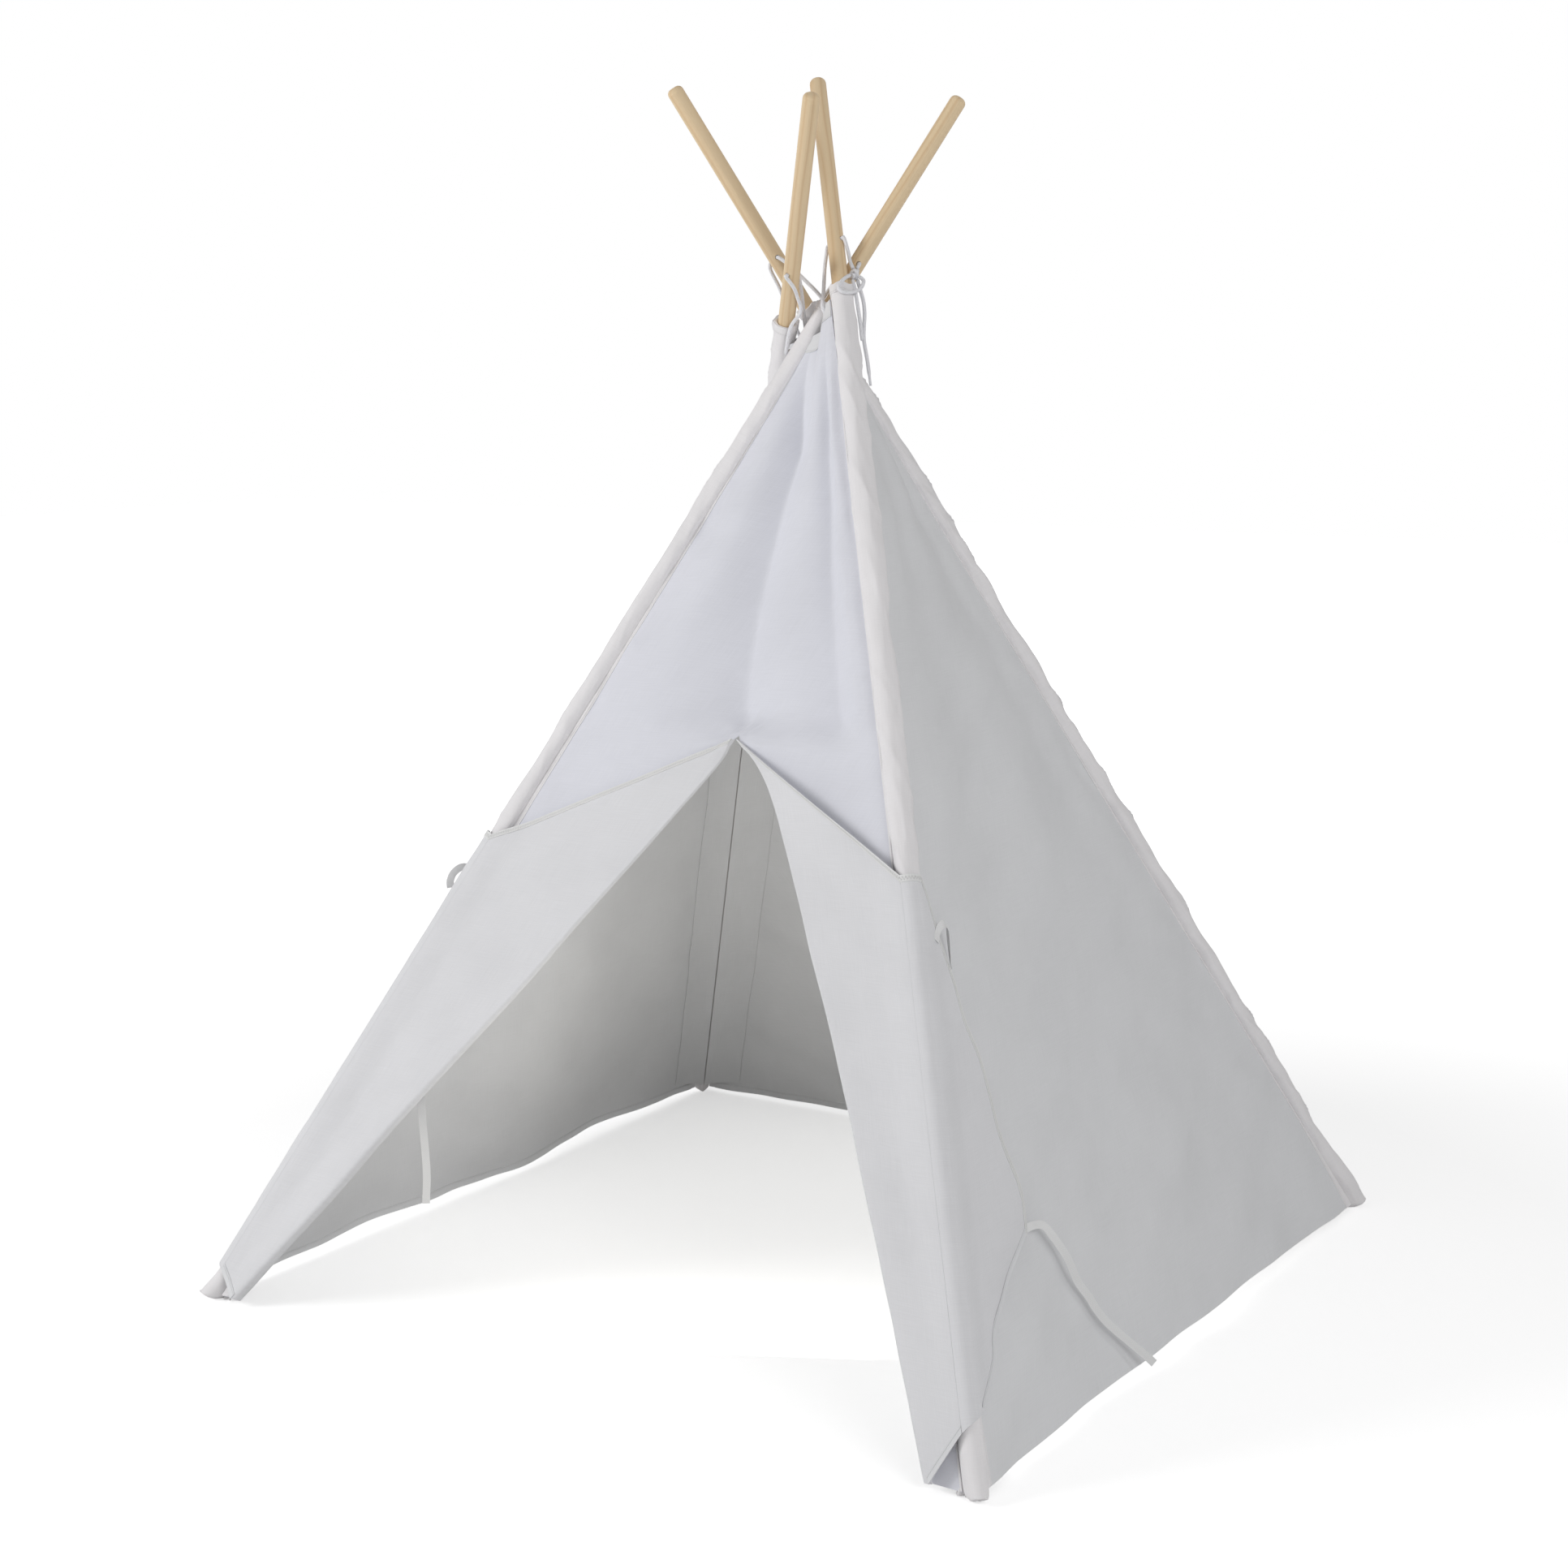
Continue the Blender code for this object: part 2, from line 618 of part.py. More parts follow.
def flap_lift(across, crease):
    """How far a flap stands off the front between its crease and the pole that it rides over."""
    bridge = min(crease, FLAP_BRIDGE_WIDTH)
    rise = smooth_step((bridge - across) / bridge)
    lift = CLOTH_THICKNESS + FLAP_CREASE_LIFT
    lift += (FLAP_FLAT_LIFT - FLAP_CREASE_LIFT) * smooth_step((crease - across) / FLAP_CREASE_WIDTH)
    return lift + (wrap_radius() - PANEL_PROUD - lift) * rise


def make_flap_front(side, materials):
    """The part of a door flap that lies on the front, from its crease to the top of the pole."""
    front = PANELS["front"]
    pole = POLES["front_" + side]
    hem, slit = FLAP_PLACES[side][:2]
    normal = front.normal(hem)
    rows = []
    for row in range(FLAP_ROWS + 1):
        share = row / FLAP_ROWS
        crease_along = front.bottom + (DOOR_POINT_ALONG - FLAP_BELOW_DOOR_POINT - front.bottom) * share
        crease = crease_across(crease_along, side)
        pole_along = hem + (slit - hem) * share
        points = []
        for column in range(FLAP_COLUMNS):
            inward = column / FLAP_COLUMNS
            along = crease_along + (pole_along - crease_along) * inward
            across = crease * (1 - inward)
            points.append(front.from_pole(pole, along, across, flap_lift(across, crease)))
        over = pole.at(pole_along) + pole.square_to(normal) * wrap_radius()
        points.append(over + (points[-1] - over).normalized() * FLAP_HINGE_GAP)
        rows.append(points)
    return cloth("door_" + side + "_front", [rows], materials["canvas"])


def make_flap_side(side, materials):
    """The part of a door flap that goes round the pole and lies on the side panel."""
    front = PANELS["front"]
    panel = PANELS[side]
    pole = POLES["front_" + side]
    hem, slit, corner_along, corner_across = FLAP_PLACES[side]
    start = pole.square_to(front.normal(hem))
    end = pole.square_to(panel.normal(hem))
    turn = start.angle(end)
    rows = []
    for row in range(FLAP_ROWS + 1):
        share = row / FLAP_ROWS
        pole_along = hem + (slit - hem) * share
        points = []
        for column in range(WRAP_COLUMNS):
            part = column / WRAP_COLUMNS
            away = start * math.sin((1 - part) * turn) + end * math.sin(part * turn)
            points.append(pole.at(pole_along) + away / math.sin(turn) * wrap_radius())
        reach = FLAP_CORNER_ROUND_SHARE + (1 - FLAP_CORNER_ROUND_SHARE) * share
        for column in range(FLAP_COLUMNS + 1):
            part = column / FLAP_COLUMNS
            edge_along = hem + (corner_along - hem) * reach
            along = pole_along + (edge_along - pole_along) * part
            along += SLIT_BOW * 4 * part * (1 - part) * share
            across = corner_across * reach * part
            lift = CLOTH_THICKNESS + FLAP_FLAT_LIFT
            lift += (wrap_radius() - PANEL_PROUD - lift) * smooth_step(1 - across / FLAP_BRIDGE_WIDTH)
            points.append(panel.from_pole(pole, along, across, lift))
        rows.append(points)
    return cloth("door_" + side + "_side", [rows], materials["canvas"])


def eyelet_place(panel):
    along = panel.top - EYELET_FROM_TOP
    return panel.point(along, panel.width(along) / 2, 0), panel.normal(along)


def make_eyelet(panel, panel_object, materials):
    """A ring pressed through the top hem, with a flange on each side of the cloth."""
    centre, normal = eyelet_place(panel)
    bore = EYELET_HOLE_DIAMETER / 2
    barrel = EYELET_BARREL_DIAMETER / 2
    flange = EYELET_FLANGE_DIAMETER / 2
    seat = CLOTH_THICKNESS / 2 + EYELET_SEAT_GAP
    face = seat + EYELET_RIM
    profile = (
        (bore, face), (flange - EYELET_RIM, face), (flange, seat), (barrel, seat),
        (barrel, -seat), (flange, -seat), (flange - EYELET_RIM, -face), (bore, -face),
    )
    obj = revolve("eyelet_" + panel.name, profile, EYELET_SIDES, True, materials["eyelet"])
    obj.location = centre
    obj.rotation_mode = "QUATERNION"
    obj.rotation_quaternion = normal.to_track_quat("Z", "Y")
    cutter = hole_cutter(
        panel.name + "_panel_hole", centre, normal, (barrel + SEAT_GAP) * 2, CUT_OVERRUN, EYELET_SIDES,
        materials["canvas"],
    )
    cut(panel_object, cutter)
    return [obj, cutter]


def straight_points(centre, direction, half_length):
    """Where a cord runs straight through a hole, listed along the direction."""
    reaches = (-half_length - CORD_EXIT, -half_length, half_length, half_length + CORD_EXIT)
    return [centre + direction * reach for reach in reaches]


def beside(pole_name, above_hole, x, y, z):
    """A point set off from a pole, at a distance above its cord hole."""
    pole = POLES[pole_name]
    return pole.at(pole.hole + above_hole) + Vector((x, y, z))


def lacing_points():
    """The lacing's own points, with each hole and eyelet worked out."""
    points = []
    for name, *rest in LACING_ROUTE:
        if len(rest) > 1:
            points.append(beside(name, *rest))
        elif name in POLES:
            pole = POLES[name]
            points += straight_points(pole.at(pole.hole), hole_direction(pole) * -rest[0], POLE_DIAMETER / 2)
        else:
            centre, normal = eyelet_place(PANELS[name])
            half_length = CLOTH_THICKNESS / 2 + EYELET_SEAT_GAP + EYELET_RIM
            points += straight_points(centre, normal * -rest[0], half_length)
    return points


def knot_points():
    """Turns of cord round the knot's axis."""
    axis = Vector(KNOT_AXIS).normalized()
    up = axis.orthogonal().normalized()
    aside = axis.cross(up)
    count = round(KNOT_TURNS * KNOT_STEPS_PER_TURN)
    points = []
    for step in range(count + 1):
        turns = (step / count - 1 / 2) * KNOT_TURNS
        away = up * math.cos(turns * math.tau) + aside * math.sin(turns * math.tau)
        points.append(beside(*KNOT_CENTRE) + axis * KNOT_PITCH * turns + away * KNOT_WRAP_DIAMETER / 2)
    return points


def make_crown_cord(materials):
    """The lacing, its knot, and the bow loop and two tails that leave it."""
    step = CORD_DIAMETER * CORD_STEP_DIAMETERS
    made = [cord("lacing_cord", smooth_route(lacing_points(), step), materials["cord"])]
    made.append(cord("knot", knot_points(), materials["cord"]))
    for name, route in (
        ("bow_loop", BOW_LOOP_ROUTE), ("cord_tail_short", SHORT_TAIL_ROUTE), ("cord_tail_long", LONG_TAIL_ROUTE)
    ):
        made.append(cord(name, smooth_route([beside(*point) for point in route], step), materials["cord"]))
    return made


def make_tape(name, materials):
    """A flat tape along its places on a panel. Its points carry the tape's turn as a fourth coordinate."""
    panel_name, places = TAPE_PLACES[name]
    panel = PANELS[panel_name]
    pole = panel.right if panel_name == "left" else panel.left
    points = []
    for along, across, lift, turn in places:
        points.append(Vector((*panel.from_pole(pole, along, across, lift), math.radians(turn) * TAPE_WIDTH)))
    route = smooth_route(points, TAPE_STEP)
    normal = panel.normal(places[0][0])
    rings = []
    for index, point in enumerate(route):
        before = route[max(index - 1, 0)].to_3d()
        after = route[min(index + 1, len(route) - 1)].to_3d()
        tangent = (after - before).normalized()
        wide = tangent.cross(normal).normalized()
        flat = wide.cross(tangent)
        turn = point.w / TAPE_WIDTH
        half_wide = (wide * math.cos(turn) + flat * math.sin(turn)) * TAPE_WIDTH / 2
        half_thick = (flat * math.cos(turn) - wide * math.sin(turn)) * TAPE_THICKNESS / 2
        centre = point.to_3d()
        rings.append([
            centre - half_wide - half_thick, centre + half_wide - half_thick,
            centre + half_wide + half_thick, centre - half_wide + half_thick,
        ])
    return skin(name, rings, materials["tape"])


def hinge_empty(name, place, axis, parent, objects):
    """An empty on a joint's axis, which carries the pieces that turn with it."""
    empty = bpy.data.objects.new(name, None)
    empty.location = place
    empty.rotation_mode = "QUATERNION"
    empty.rotation_quaternion = axis.to_track_quat("Z", "Y")
    empty.empty_display_size = POLE_DIAMETER
    bpy.context.scene.collection.objects.link(empty)
    bpy.context.view_layer.update()
    for obj in objects:
        obj.parent = empty
        obj.matrix_parent_inverse = empty.matrix_world.inverted()
    if parent:
        empty.parent = parent
        empty.matrix_parent_inverse = parent.matrix_world.inverted()
    return empty


def crown_hinge(child, parent):
    """Where a pole turns on the one that carries it: its own closest point, and the line square to both."""
    return child.at(child.nearest(parent)), child.along.cross(parent.along).normalized()


def door_hinges(side):
    """The crease line of a door flap, and the line over the pole where the flap bends. Turning back about
    both closes the door."""
    front = PANELS["front"]
    pole = POLES["front_" + side]
    hem = FLAP_PLACES[side][0]
    low = front.from_pole(pole, front.bottom, crease_across(front.bottom, side), CLOTH_THICKNESS)
    high = front.from_pole(pole, DOOR_POINT_ALONG, crease_across(DOOR_POINT_ALONG, side), CLOTH_THICKNESS)
    over = pole.at(hem) + pole.square_to(front.normal(hem)) * wrap_radius()
    turn = -1 if side == "left" else 1
    return (low, (high - low).normalized() * turn), (over, pole.along * turn)


def build():
    clear_scene()
    materials = make_materials()
    bodies = {name: [] for name in POLES}
    for pole in POLES.values():
        bodies[pole.name] += make_pole(pole, materials)
        bodies[pole.name].append(make_sleeve(pole, materials))
    bodies["front_left"].append(make_front_panel(materials))
    for name, body in (("right", "rear_right"), ("back", "rear_left"), ("left", "rear_left")):
        panel_object = make_panel(PANELS[name], materials)
        bodies[body] += [panel_object, *make_eyelet(PANELS[name], panel_object, materials)]
    bodies["front_left"] += make_crown_cord(materials)
    bodies["front_left"].append(make_tape("tie_inner_left", materials))
    empties = {}
    for name, parent in (("front_right", "front_left"), ("rear_left", "front_left"), ("rear_right", "rear_left")):
        place, axis = crown_hinge(POLES[name], POLES[parent])
        empties[name] = hinge_empty("turn_" + name, place, axis, empties.get(parent), bodies[name])
    for side in ("left", "right"):
        front_objects = [make_flap_front(side, materials)]
        side_objects = [make_flap_side(side, materials), make_tape("tie_" + side + "_upper", materials)]
        if side == "right":
            side_objects.append(make_tape("tie_right_lower", materials))
        crease, bend = door_hinges(side)
        pole_empty = empties.get("front_" + side)
        front_empty = hinge_empty("turn_door_" + side, *crease, pole_empty, front_objects)
        hinge_empty("bend_door_" + side, *bend, front_empty, side_objects)


build()
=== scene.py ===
"""Looks of the kids teepee: canvas cover, laced crown, wooden poles, door flaps and tapes."""
import math

import bpy
from mathutils import Matrix, Vector, noise


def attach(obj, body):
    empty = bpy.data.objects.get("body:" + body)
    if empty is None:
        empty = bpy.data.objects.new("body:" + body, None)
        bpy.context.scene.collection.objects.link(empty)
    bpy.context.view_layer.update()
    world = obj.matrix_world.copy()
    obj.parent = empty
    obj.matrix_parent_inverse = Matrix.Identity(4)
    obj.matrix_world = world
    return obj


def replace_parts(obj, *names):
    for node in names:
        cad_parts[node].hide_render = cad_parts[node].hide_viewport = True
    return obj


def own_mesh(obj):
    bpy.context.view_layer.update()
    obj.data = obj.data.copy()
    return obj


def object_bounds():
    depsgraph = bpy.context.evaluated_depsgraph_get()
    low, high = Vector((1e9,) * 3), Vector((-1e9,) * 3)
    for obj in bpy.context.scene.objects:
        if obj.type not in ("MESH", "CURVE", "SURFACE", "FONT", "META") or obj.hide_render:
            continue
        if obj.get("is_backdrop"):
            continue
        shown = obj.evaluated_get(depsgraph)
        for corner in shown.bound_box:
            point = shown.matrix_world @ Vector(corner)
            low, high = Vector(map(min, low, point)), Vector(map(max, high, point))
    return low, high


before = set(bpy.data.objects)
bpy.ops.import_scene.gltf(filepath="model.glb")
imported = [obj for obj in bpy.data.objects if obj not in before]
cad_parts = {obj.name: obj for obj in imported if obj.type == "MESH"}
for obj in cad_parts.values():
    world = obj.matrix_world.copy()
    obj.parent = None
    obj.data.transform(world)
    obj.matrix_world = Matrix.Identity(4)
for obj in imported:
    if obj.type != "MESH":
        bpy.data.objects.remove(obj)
cad_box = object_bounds()

# ---- The part's own sizes, in metres ----
BASE = (1.164, 1.190)
POLE_DIAMETER = 0.022
POLE_LENGTH = 1.860
CROWN_HEIGHT = 1.306
HOLE_FROM_TIP = 0.255
CLOTH = 0.0012
SEAT_GAP = 0.0003
SLEEVE_RADIUS = 0.0135
SLEEVE_RIPPLE = 0.0018
PANEL_PROUD = 0.004
HEM_HEIGHT = 0.005
HEM_BOW = 0.006
FOLD_DEPTH = 0.020
# Per pole: signs and shifts of its foot on the base, shares of the diameter that it stands off the crown's
# middle, how far its sleeve ends below the cross hole, and the hole's bearing in degrees
CORNERS = {
    "front_left": (-1, -1, 0.0128, 0.0121, 1.72, 0.155, 0.066, -45),
    "front_right": (1, -1, 0.0096, -0.0125, 3.02, -1.205, 0.070, -15),
    "rear_right": (1, 1, -0.0085, -0.0098, -1.00, 0.77, 0.076, -47),
    "rear_left": (-1, 1, -0.0122, 0.0088, -0.39, -1.66, 0.076, -86),
}
# How far each panel ends below the lower of its sleeves' tops
BELOW_SLEEVE = {"front": 0.050, "right": 0.034, "back": 0.036, "left": 0.040}
# Broad folds: share across at the bottom and at the top, half width, and depth as a share of FOLD_DEPTH
SOFT_FOLDS = {
    "front": (),
    "right": ((0.30, 0.45, 0.13, -0.40), (0.58, 0.60, 0.10, 0.25), (0.86, 0.80, 0.07, -0.30)),
    "back": ((0.25, 0.40, 0.12, 0.35), (0.52, 0.50, 0.12, -0.45), (0.78, 0.62, 0.10, 0.30)),
    "left": ((0.22, 0.40, 0.10, 0.30), (0.47, 0.50, 0.13, -0.50), (0.75, 0.60, 0.12, 0.35)),
}
# Valleys and ridges of the front above the door: (distance up the poles, share across), then depth in
# metres, outwards where positive, the half width on the left and on the right, in shares, and sharpness
FRONT_FOLDS = (
    (((0.886, 0.549), (0.939, 0.512), (0.999, 0.489), (1.069, 0.469), (1.14, 0.456), (1.225, 0.445),
      (1.316, 0.431), (1.432, 0.30)), -0.031, 0.115, 0.20, 1.2),
    (((0.86, 0.85), (0.958, 0.819), (1.048, 0.801), (1.138, 0.777), (1.23, 0.758), (1.334, 0.70),
      (1.45, 0.66)), -0.018, 0.10, 0.06, 1.6),
    (((0.86, 0.925), (0.958, 0.910), (1.048, 0.900), (1.138, 0.872), (1.21, 0.868), (1.45, 0.80)),
     0.009, 0.05, 0.05, 1.8),
    (((0.86, 0.20), (1.0, 0.24), (1.15, 0.28), (1.30, 0.29), (1.45, 0.25)), 0.006, 0.12, 0.10, 1.8),
)
# Puckers beside the seams: panel, distance up the poles, share across, half sizes along and across, depth
PUCKERS = (
    ("right", 0.268, 0.90, 0.030, 0.050, 0.0060), ("right", 0.377, 0.89, 0.034, 0.045, -0.0055),
    ("right", 0.663, 0.955, 0.020, 0.030, 0.0040), ("right", 0.772, 0.95, 0.022, 0.026, -0.0038),
    ("right", 0.95, 0.94, 0.022, 0.03, 0.0034), ("right", 0.52, 0.93, 0.022, 0.035, 0.0034),
    ("front", 1.02, 0.035, 0.030, 0.05, 0.0034), ("front", 1.20, 0.06, 0.022, 0.05, -0.0030),
    ("front", 0.93, 0.03, 0.020, 0.04, -0.0030), ("left", 0.35, 0.06, 0.03, 0.05, 0.0045),
    ("left", 0.62, 0.94, 0.03, 0.05, -0.0045), ("back", 0.30, 0.93, 0.03, 0.05, 0.0045),
    ("back", 0.55, 0.06, 0.03, 0.05, -0.0045), ("back", 0.85, 0.92, 0.025, 0.05, 0.0040),
)
SOFTNESS = {"front": 0.0045, "right": 0.0120, "back": 0.0075, "left": 0.0075}
DOOR_ALONG = 0.894
DOOR_SHARE = 0.545
LEG_WIDTHS = {"left": 0.041, "right": 0.0575}
# How far each crease runs from the straight line to the door's point: (distance up the poles, metres across)
CREASE_BOWS = {
    "left": ((0.0, 0.010), (0.157, 0.012), (0.31, 0.0088), (0.45, 0.0105), (0.60, 0.0090), (0.73, 0.0122),
             (0.827, 0.0135), (0.866, 0.0100), (0.894, 0.0)),
    "right": ((0.0, 0.0017), (0.27, -0.019), (0.414, -0.0243), (0.677, -0.0327), (0.80, -0.0330),
              (0.845, -0.0270), (0.875, -0.012), (0.894, 0.0)),
}
# The rolled crease's radius at the floor and at the door's point
ROLLS = {"left": (0.0075, 0.0018), "right": (0.0090, 0.0018)}
# Each flap's free edge on the side: distance up the pole, and across from it
FREE_EDGES = {
    "left": ((0.050, 0.011), (0.075, 0.030), (0.115, 0.060), (0.150, 0.078), (0.190, 0.115), (0.225, 0.150),
             (0.255, 0.180)),
    "right": ((0.093, 0.011), (0.1030, 0.0265), (0.1260, 0.0535), (0.1560, 0.0655), (0.1837, 0.0935),
              (0.2107, 0.1209), (0.247, 0.177)),
}
# How far the hem rises or drops as it passes over the pole, at its front and at its side
HEM_SLANTS = {"left": (0.004, 0.010), "right": (-0.014, 0.004)}
# Each flap's hem and slit: distances up its pole
FLAP_SPANS = {"left": (0.038, 0.721), "right": (0.086, 0.722)}
FLAP_LIFT = CLOTH + 0.0045
WRAP_RADIUS = SLEEVE_RADIUS + SLEEVE_RIPPLE + 0.0028
WRAP_MAP_RADIUS = 0.019
SLIT_BOW = 0.035
# Gaps from a flap to the front at the crease and at the door's point, and between its two leaves
CREASE_GAP = 0.0007
POINT_GAP = 0.006
LEAF_GAP = 0.0003
FRONT_PEAK = 0.038
HALF_COLUMNS = 44
# How loose each sleeve is, and the width of the flat cloth that it is cut from
LOOSENESS = {"front_left": 0.8, "front_right": 1.35, "rear_right": 1.9, "rear_left": 1.2}
SLEEVE_ROUND = 0.085
SLEEVE_CUFF = 0.0125
SLEEVE_BORE = 0.0117
POCKET_HEIGHT = 0.042
# How far the facings inside the corners reach from the seams, and how far behind the pole they end
FACINGS = {"front": 0.010, "right": 0.060, "back": 0.060, "left": 0.060}
FACING_END = 0.0168
SEAM_GAP = 0.0007
SEAM_CLOTH = 0.0009
BAND_CLOTH = 0.0007
HEM_WIDTH = 0.009
SEAM_WIDTH = 0.0065
BAND_WIDTH = 0.014
THREAD_PITCH = 0.00062
CORD_RADIUS = 0.0025
TAPE_WIDTH = 0.010
TAPE_CLOTH = 0.0008
ROUTE_STEP = 0.003
# The eyelets: distance below the cover's top, and half their thickness
EYELET_DROP = 0.018
EYELET_HALF = 0.0021
# How far the lacing runs straight on where it leaves a hole or an eyelet
PASS_REACH = 0.0035


def smooth_step(share):
    share = min(max(share, 0), 1)
    return share * share * (3 - 2 * share)


def mix(low, high, share):
    return low + (high - low) * share


class Pole:
    def __init__(self, name):
        x_side, y_side, x_shift, y_shift, x_share, y_share, below, bearing = CORNERS[name]
        self.name = name
        self.foot = Vector((x_side * BASE[0] / 2 + x_shift, y_side * BASE[1] / 2 + y_shift, 0))
        crown = Vector((x_share * POLE_DIAMETER, y_share * POLE_DIAMETER, CROWN_HEIGHT))
        self.along = (crown - self.foot).normalized()
        radius = POLE_DIAMETER / 2
        self.lower = (CLOTH + SEAT_GAP + radius) / self.along.z - radius
        self.upper = self.lower + POLE_LENGTH
        self.hole = self.upper - HOLE_FROM_TIP
        self.top = self.hole - below
        self.bearing = math.radians(bearing)

    def at(self, distance):
        return self.foot + self.along * distance

    def square(self, direction):
        return (direction - self.along * direction.dot(self.along)).normalized()


def front_fold(along, share):
    """Depth of the front's folds, which start at the door's point."""
    depth = 0
    for path, size, left_width, right_width, power in FRONT_FOLDS:
        centre = path[-1][1]
        for (low, low_share), (high, high_share) in zip(path, path[1:]):
            if along < high:
                centre = mix(low_share, high_share, min(max((along - low) / (high - low), 0), 1))
                break
        width = left_width if share < centre else right_width
        depth += size * math.exp(-math.hypot((share - centre) / width, 0.05) ** power)
    grow = smooth_step((along - DOOR_ALONG + 0.012) / 0.055)
    return depth * grow


class Panel:
    def __init__(self, name, left, right, seed):
        self.name = name
        self.left = left
        self.right = right
        self.seed = seed
        self.top = min(left.top, right.top) - BELOW_SLEEVE[name]
        self.bottom = HEM_HEIGHT / left.along.z

    def span(self, along):
        return self.right.at(along) - self.left.at(along)

    def width(self, along):
        return self.span(along).length

    def normal(self, along):
        return self.span(along).cross(self.left.along + self.right.along).normalized()

    def edge(self, along, pole, gap=SEAM_GAP):
        reach = SLEEVE_RADIUS + gap
        inward = self.span(along).normalized() * (1 if pole is self.left else -1)
        proud = self.normal(along) * PANEL_PROUD
        inward -= pole.along * inward.dot(pole.along)
        proud -= pole.along * proud.dot(pole.along)
        lean = inward.dot(proud) / inward.dot(inward)
        return math.sqrt(lean**2 + (reach**2 - proud.dot(proud)) / inward.dot(inward)) - lean

    def relief(self, along, across):
        """How far the cloth stands out from its flat plane, in its folds, puckers and soft unevenness."""
        width = self.width(along)
        u = across / width
        v = (along - self.bottom) / (self.top - self.bottom)
        side = smooth_step(min(u, 1 - u) * 4)
        top = smooth_step((1 - v) * 5)
        depth = 0
        for low, high, half_width, share in SOFT_FOLDS[self.name]:
            depth += share * FOLD_DEPTH * math.exp(-(((u - mix(low, high, v)) / half_width) ** 2)) * side * top
        from_seam = max(min(across, width - across) - 0.0136, 0)
        if self.name == "front":
            if along > DOOR_ALONG - 0.01:
                depth += front_fold(along, u) * smooth_step(min(u, 1 - u) * 14) * smooth_step((1 - v) * 9)
            depth += self.pinch(along, across)
        near = math.exp(-from_seam / 0.045)
        half = 0 if across < width / 2 else 31
        if from_seam < 0.25:
            ripple = noise.noise(Vector((half + self.seed, along * 19, across * 9)))
            ripple += 0.6 * noise.noise(Vector((half - self.seed, along * 41, across * 17)))
            depth += 0.0030 * ripple * near * smooth_step(from_seam / 0.03)
        soft = noise.noise(Vector((across * 5.1 + self.seed, along * 3.1, self.seed)))
        drag = noise.noise(Vector((across * 7 - along * 9, along * 2.2 + across * 1.6, self.seed + 7)))
        calm = smooth_step(min(from_seam / 0.10, 1)) * smooth_step((1 - v) * 6)
        depth += SOFTNESS[self.name] * (soft + 0.75 * drag) * calm
        for name, place, share, length, half_width, size in PUCKERS:
            if name == self.name and abs(along - place) < length * 3:
                across_far = (across - share * width) / half_width
                depth += size * math.exp(-(((along - place) / length + across_far * 0.5) ** 2) - across_far**2)
        hem = math.exp(-(along - self.bottom) / 0.05)
        depth += 0.0030 * hem * noise.noise(Vector((across * 13, self.seed, 3))) * smooth_step(from_seam / 0.06)
        return depth * smooth_step(from_seam / 0.015)

    def pinch(self, along, across):
        """Short puckers that radiate from the door's point."""
        up = along - DOOR_ALONG
        aside = across - self.width(DOOR_ALONG) * DOOR_SHARE
        reach = math.hypot(up, aside)
        if reach > 0.25:
            return 0
        near = math.exp(-reach / 0.045) * (1 - math.exp(-((reach / 0.014) ** 2)))
        return 0.0040 * near * math.cos(7 * math.atan2(aside, up) + 0.6)

    def over(self, along, across, height):
        """A point at a height over the plane through both poles."""
        return self.left.at(along) + self.span(along).normalized() * across + self.normal(along) * height

    def from_pole(self, pole, along, across, lift=0.0):
        """A point on the cloth, or lifted off it, at a distance across from one of its poles."""
        if pole is self.right:
            across = self.width(along) - across
        return self.over(along, across, PANEL_PROUD + self.relief(along, across) + lift)


POLES = {name: Pole(name) for name in CORNERS}
PANELS = {
    "front": Panel("front", POLES["front_left"], POLES["front_right"], 2.0),
    "right": Panel("right", POLES["front_right"], POLES["rear_right"], 11.0),
    "back": Panel("back", POLES["rear_right"], POLES["rear_left"], 23.0),
    "left": Panel("left", POLES["rear_left"], POLES["front_left"], 37.0),
}


# ---- Meshes ----
def add_object(name, data):
    obj = bpy.data.objects.new(name, data)
    bpy.context.scene.collection.objects.link(obj)
    return obj


def turned(*grids):
    """Grids with every row in the other order."""
    return [[line[::-1] for line in grid] for grid in grids]


def faces_away(rows, normal, row=0, column=0):
    """Whether a grid's faces, judged by one of them, look away from a normal."""
    corner = rows[row][column]
    return (rows[row][column + 1] - corner).cross(rows[row + 1][column] - corner).dot(normal) < 0


def grid(count, width, place):
    """Rows of points and rows of map places, from a function of row and column that gives both."""
    cells = [[place(row, column) for column in range(width)] for row in range(count)]
    return ([[cell[part] for cell in line] for line in cells] for part in (0, 1))


def grid_area(rows):
    return sum(
        (line[c + 1] - line[c]).cross(after[c] - line[c]).length
        for line, after in zip(rows, rows[1:]) for c in range(len(line) - 1)
    )


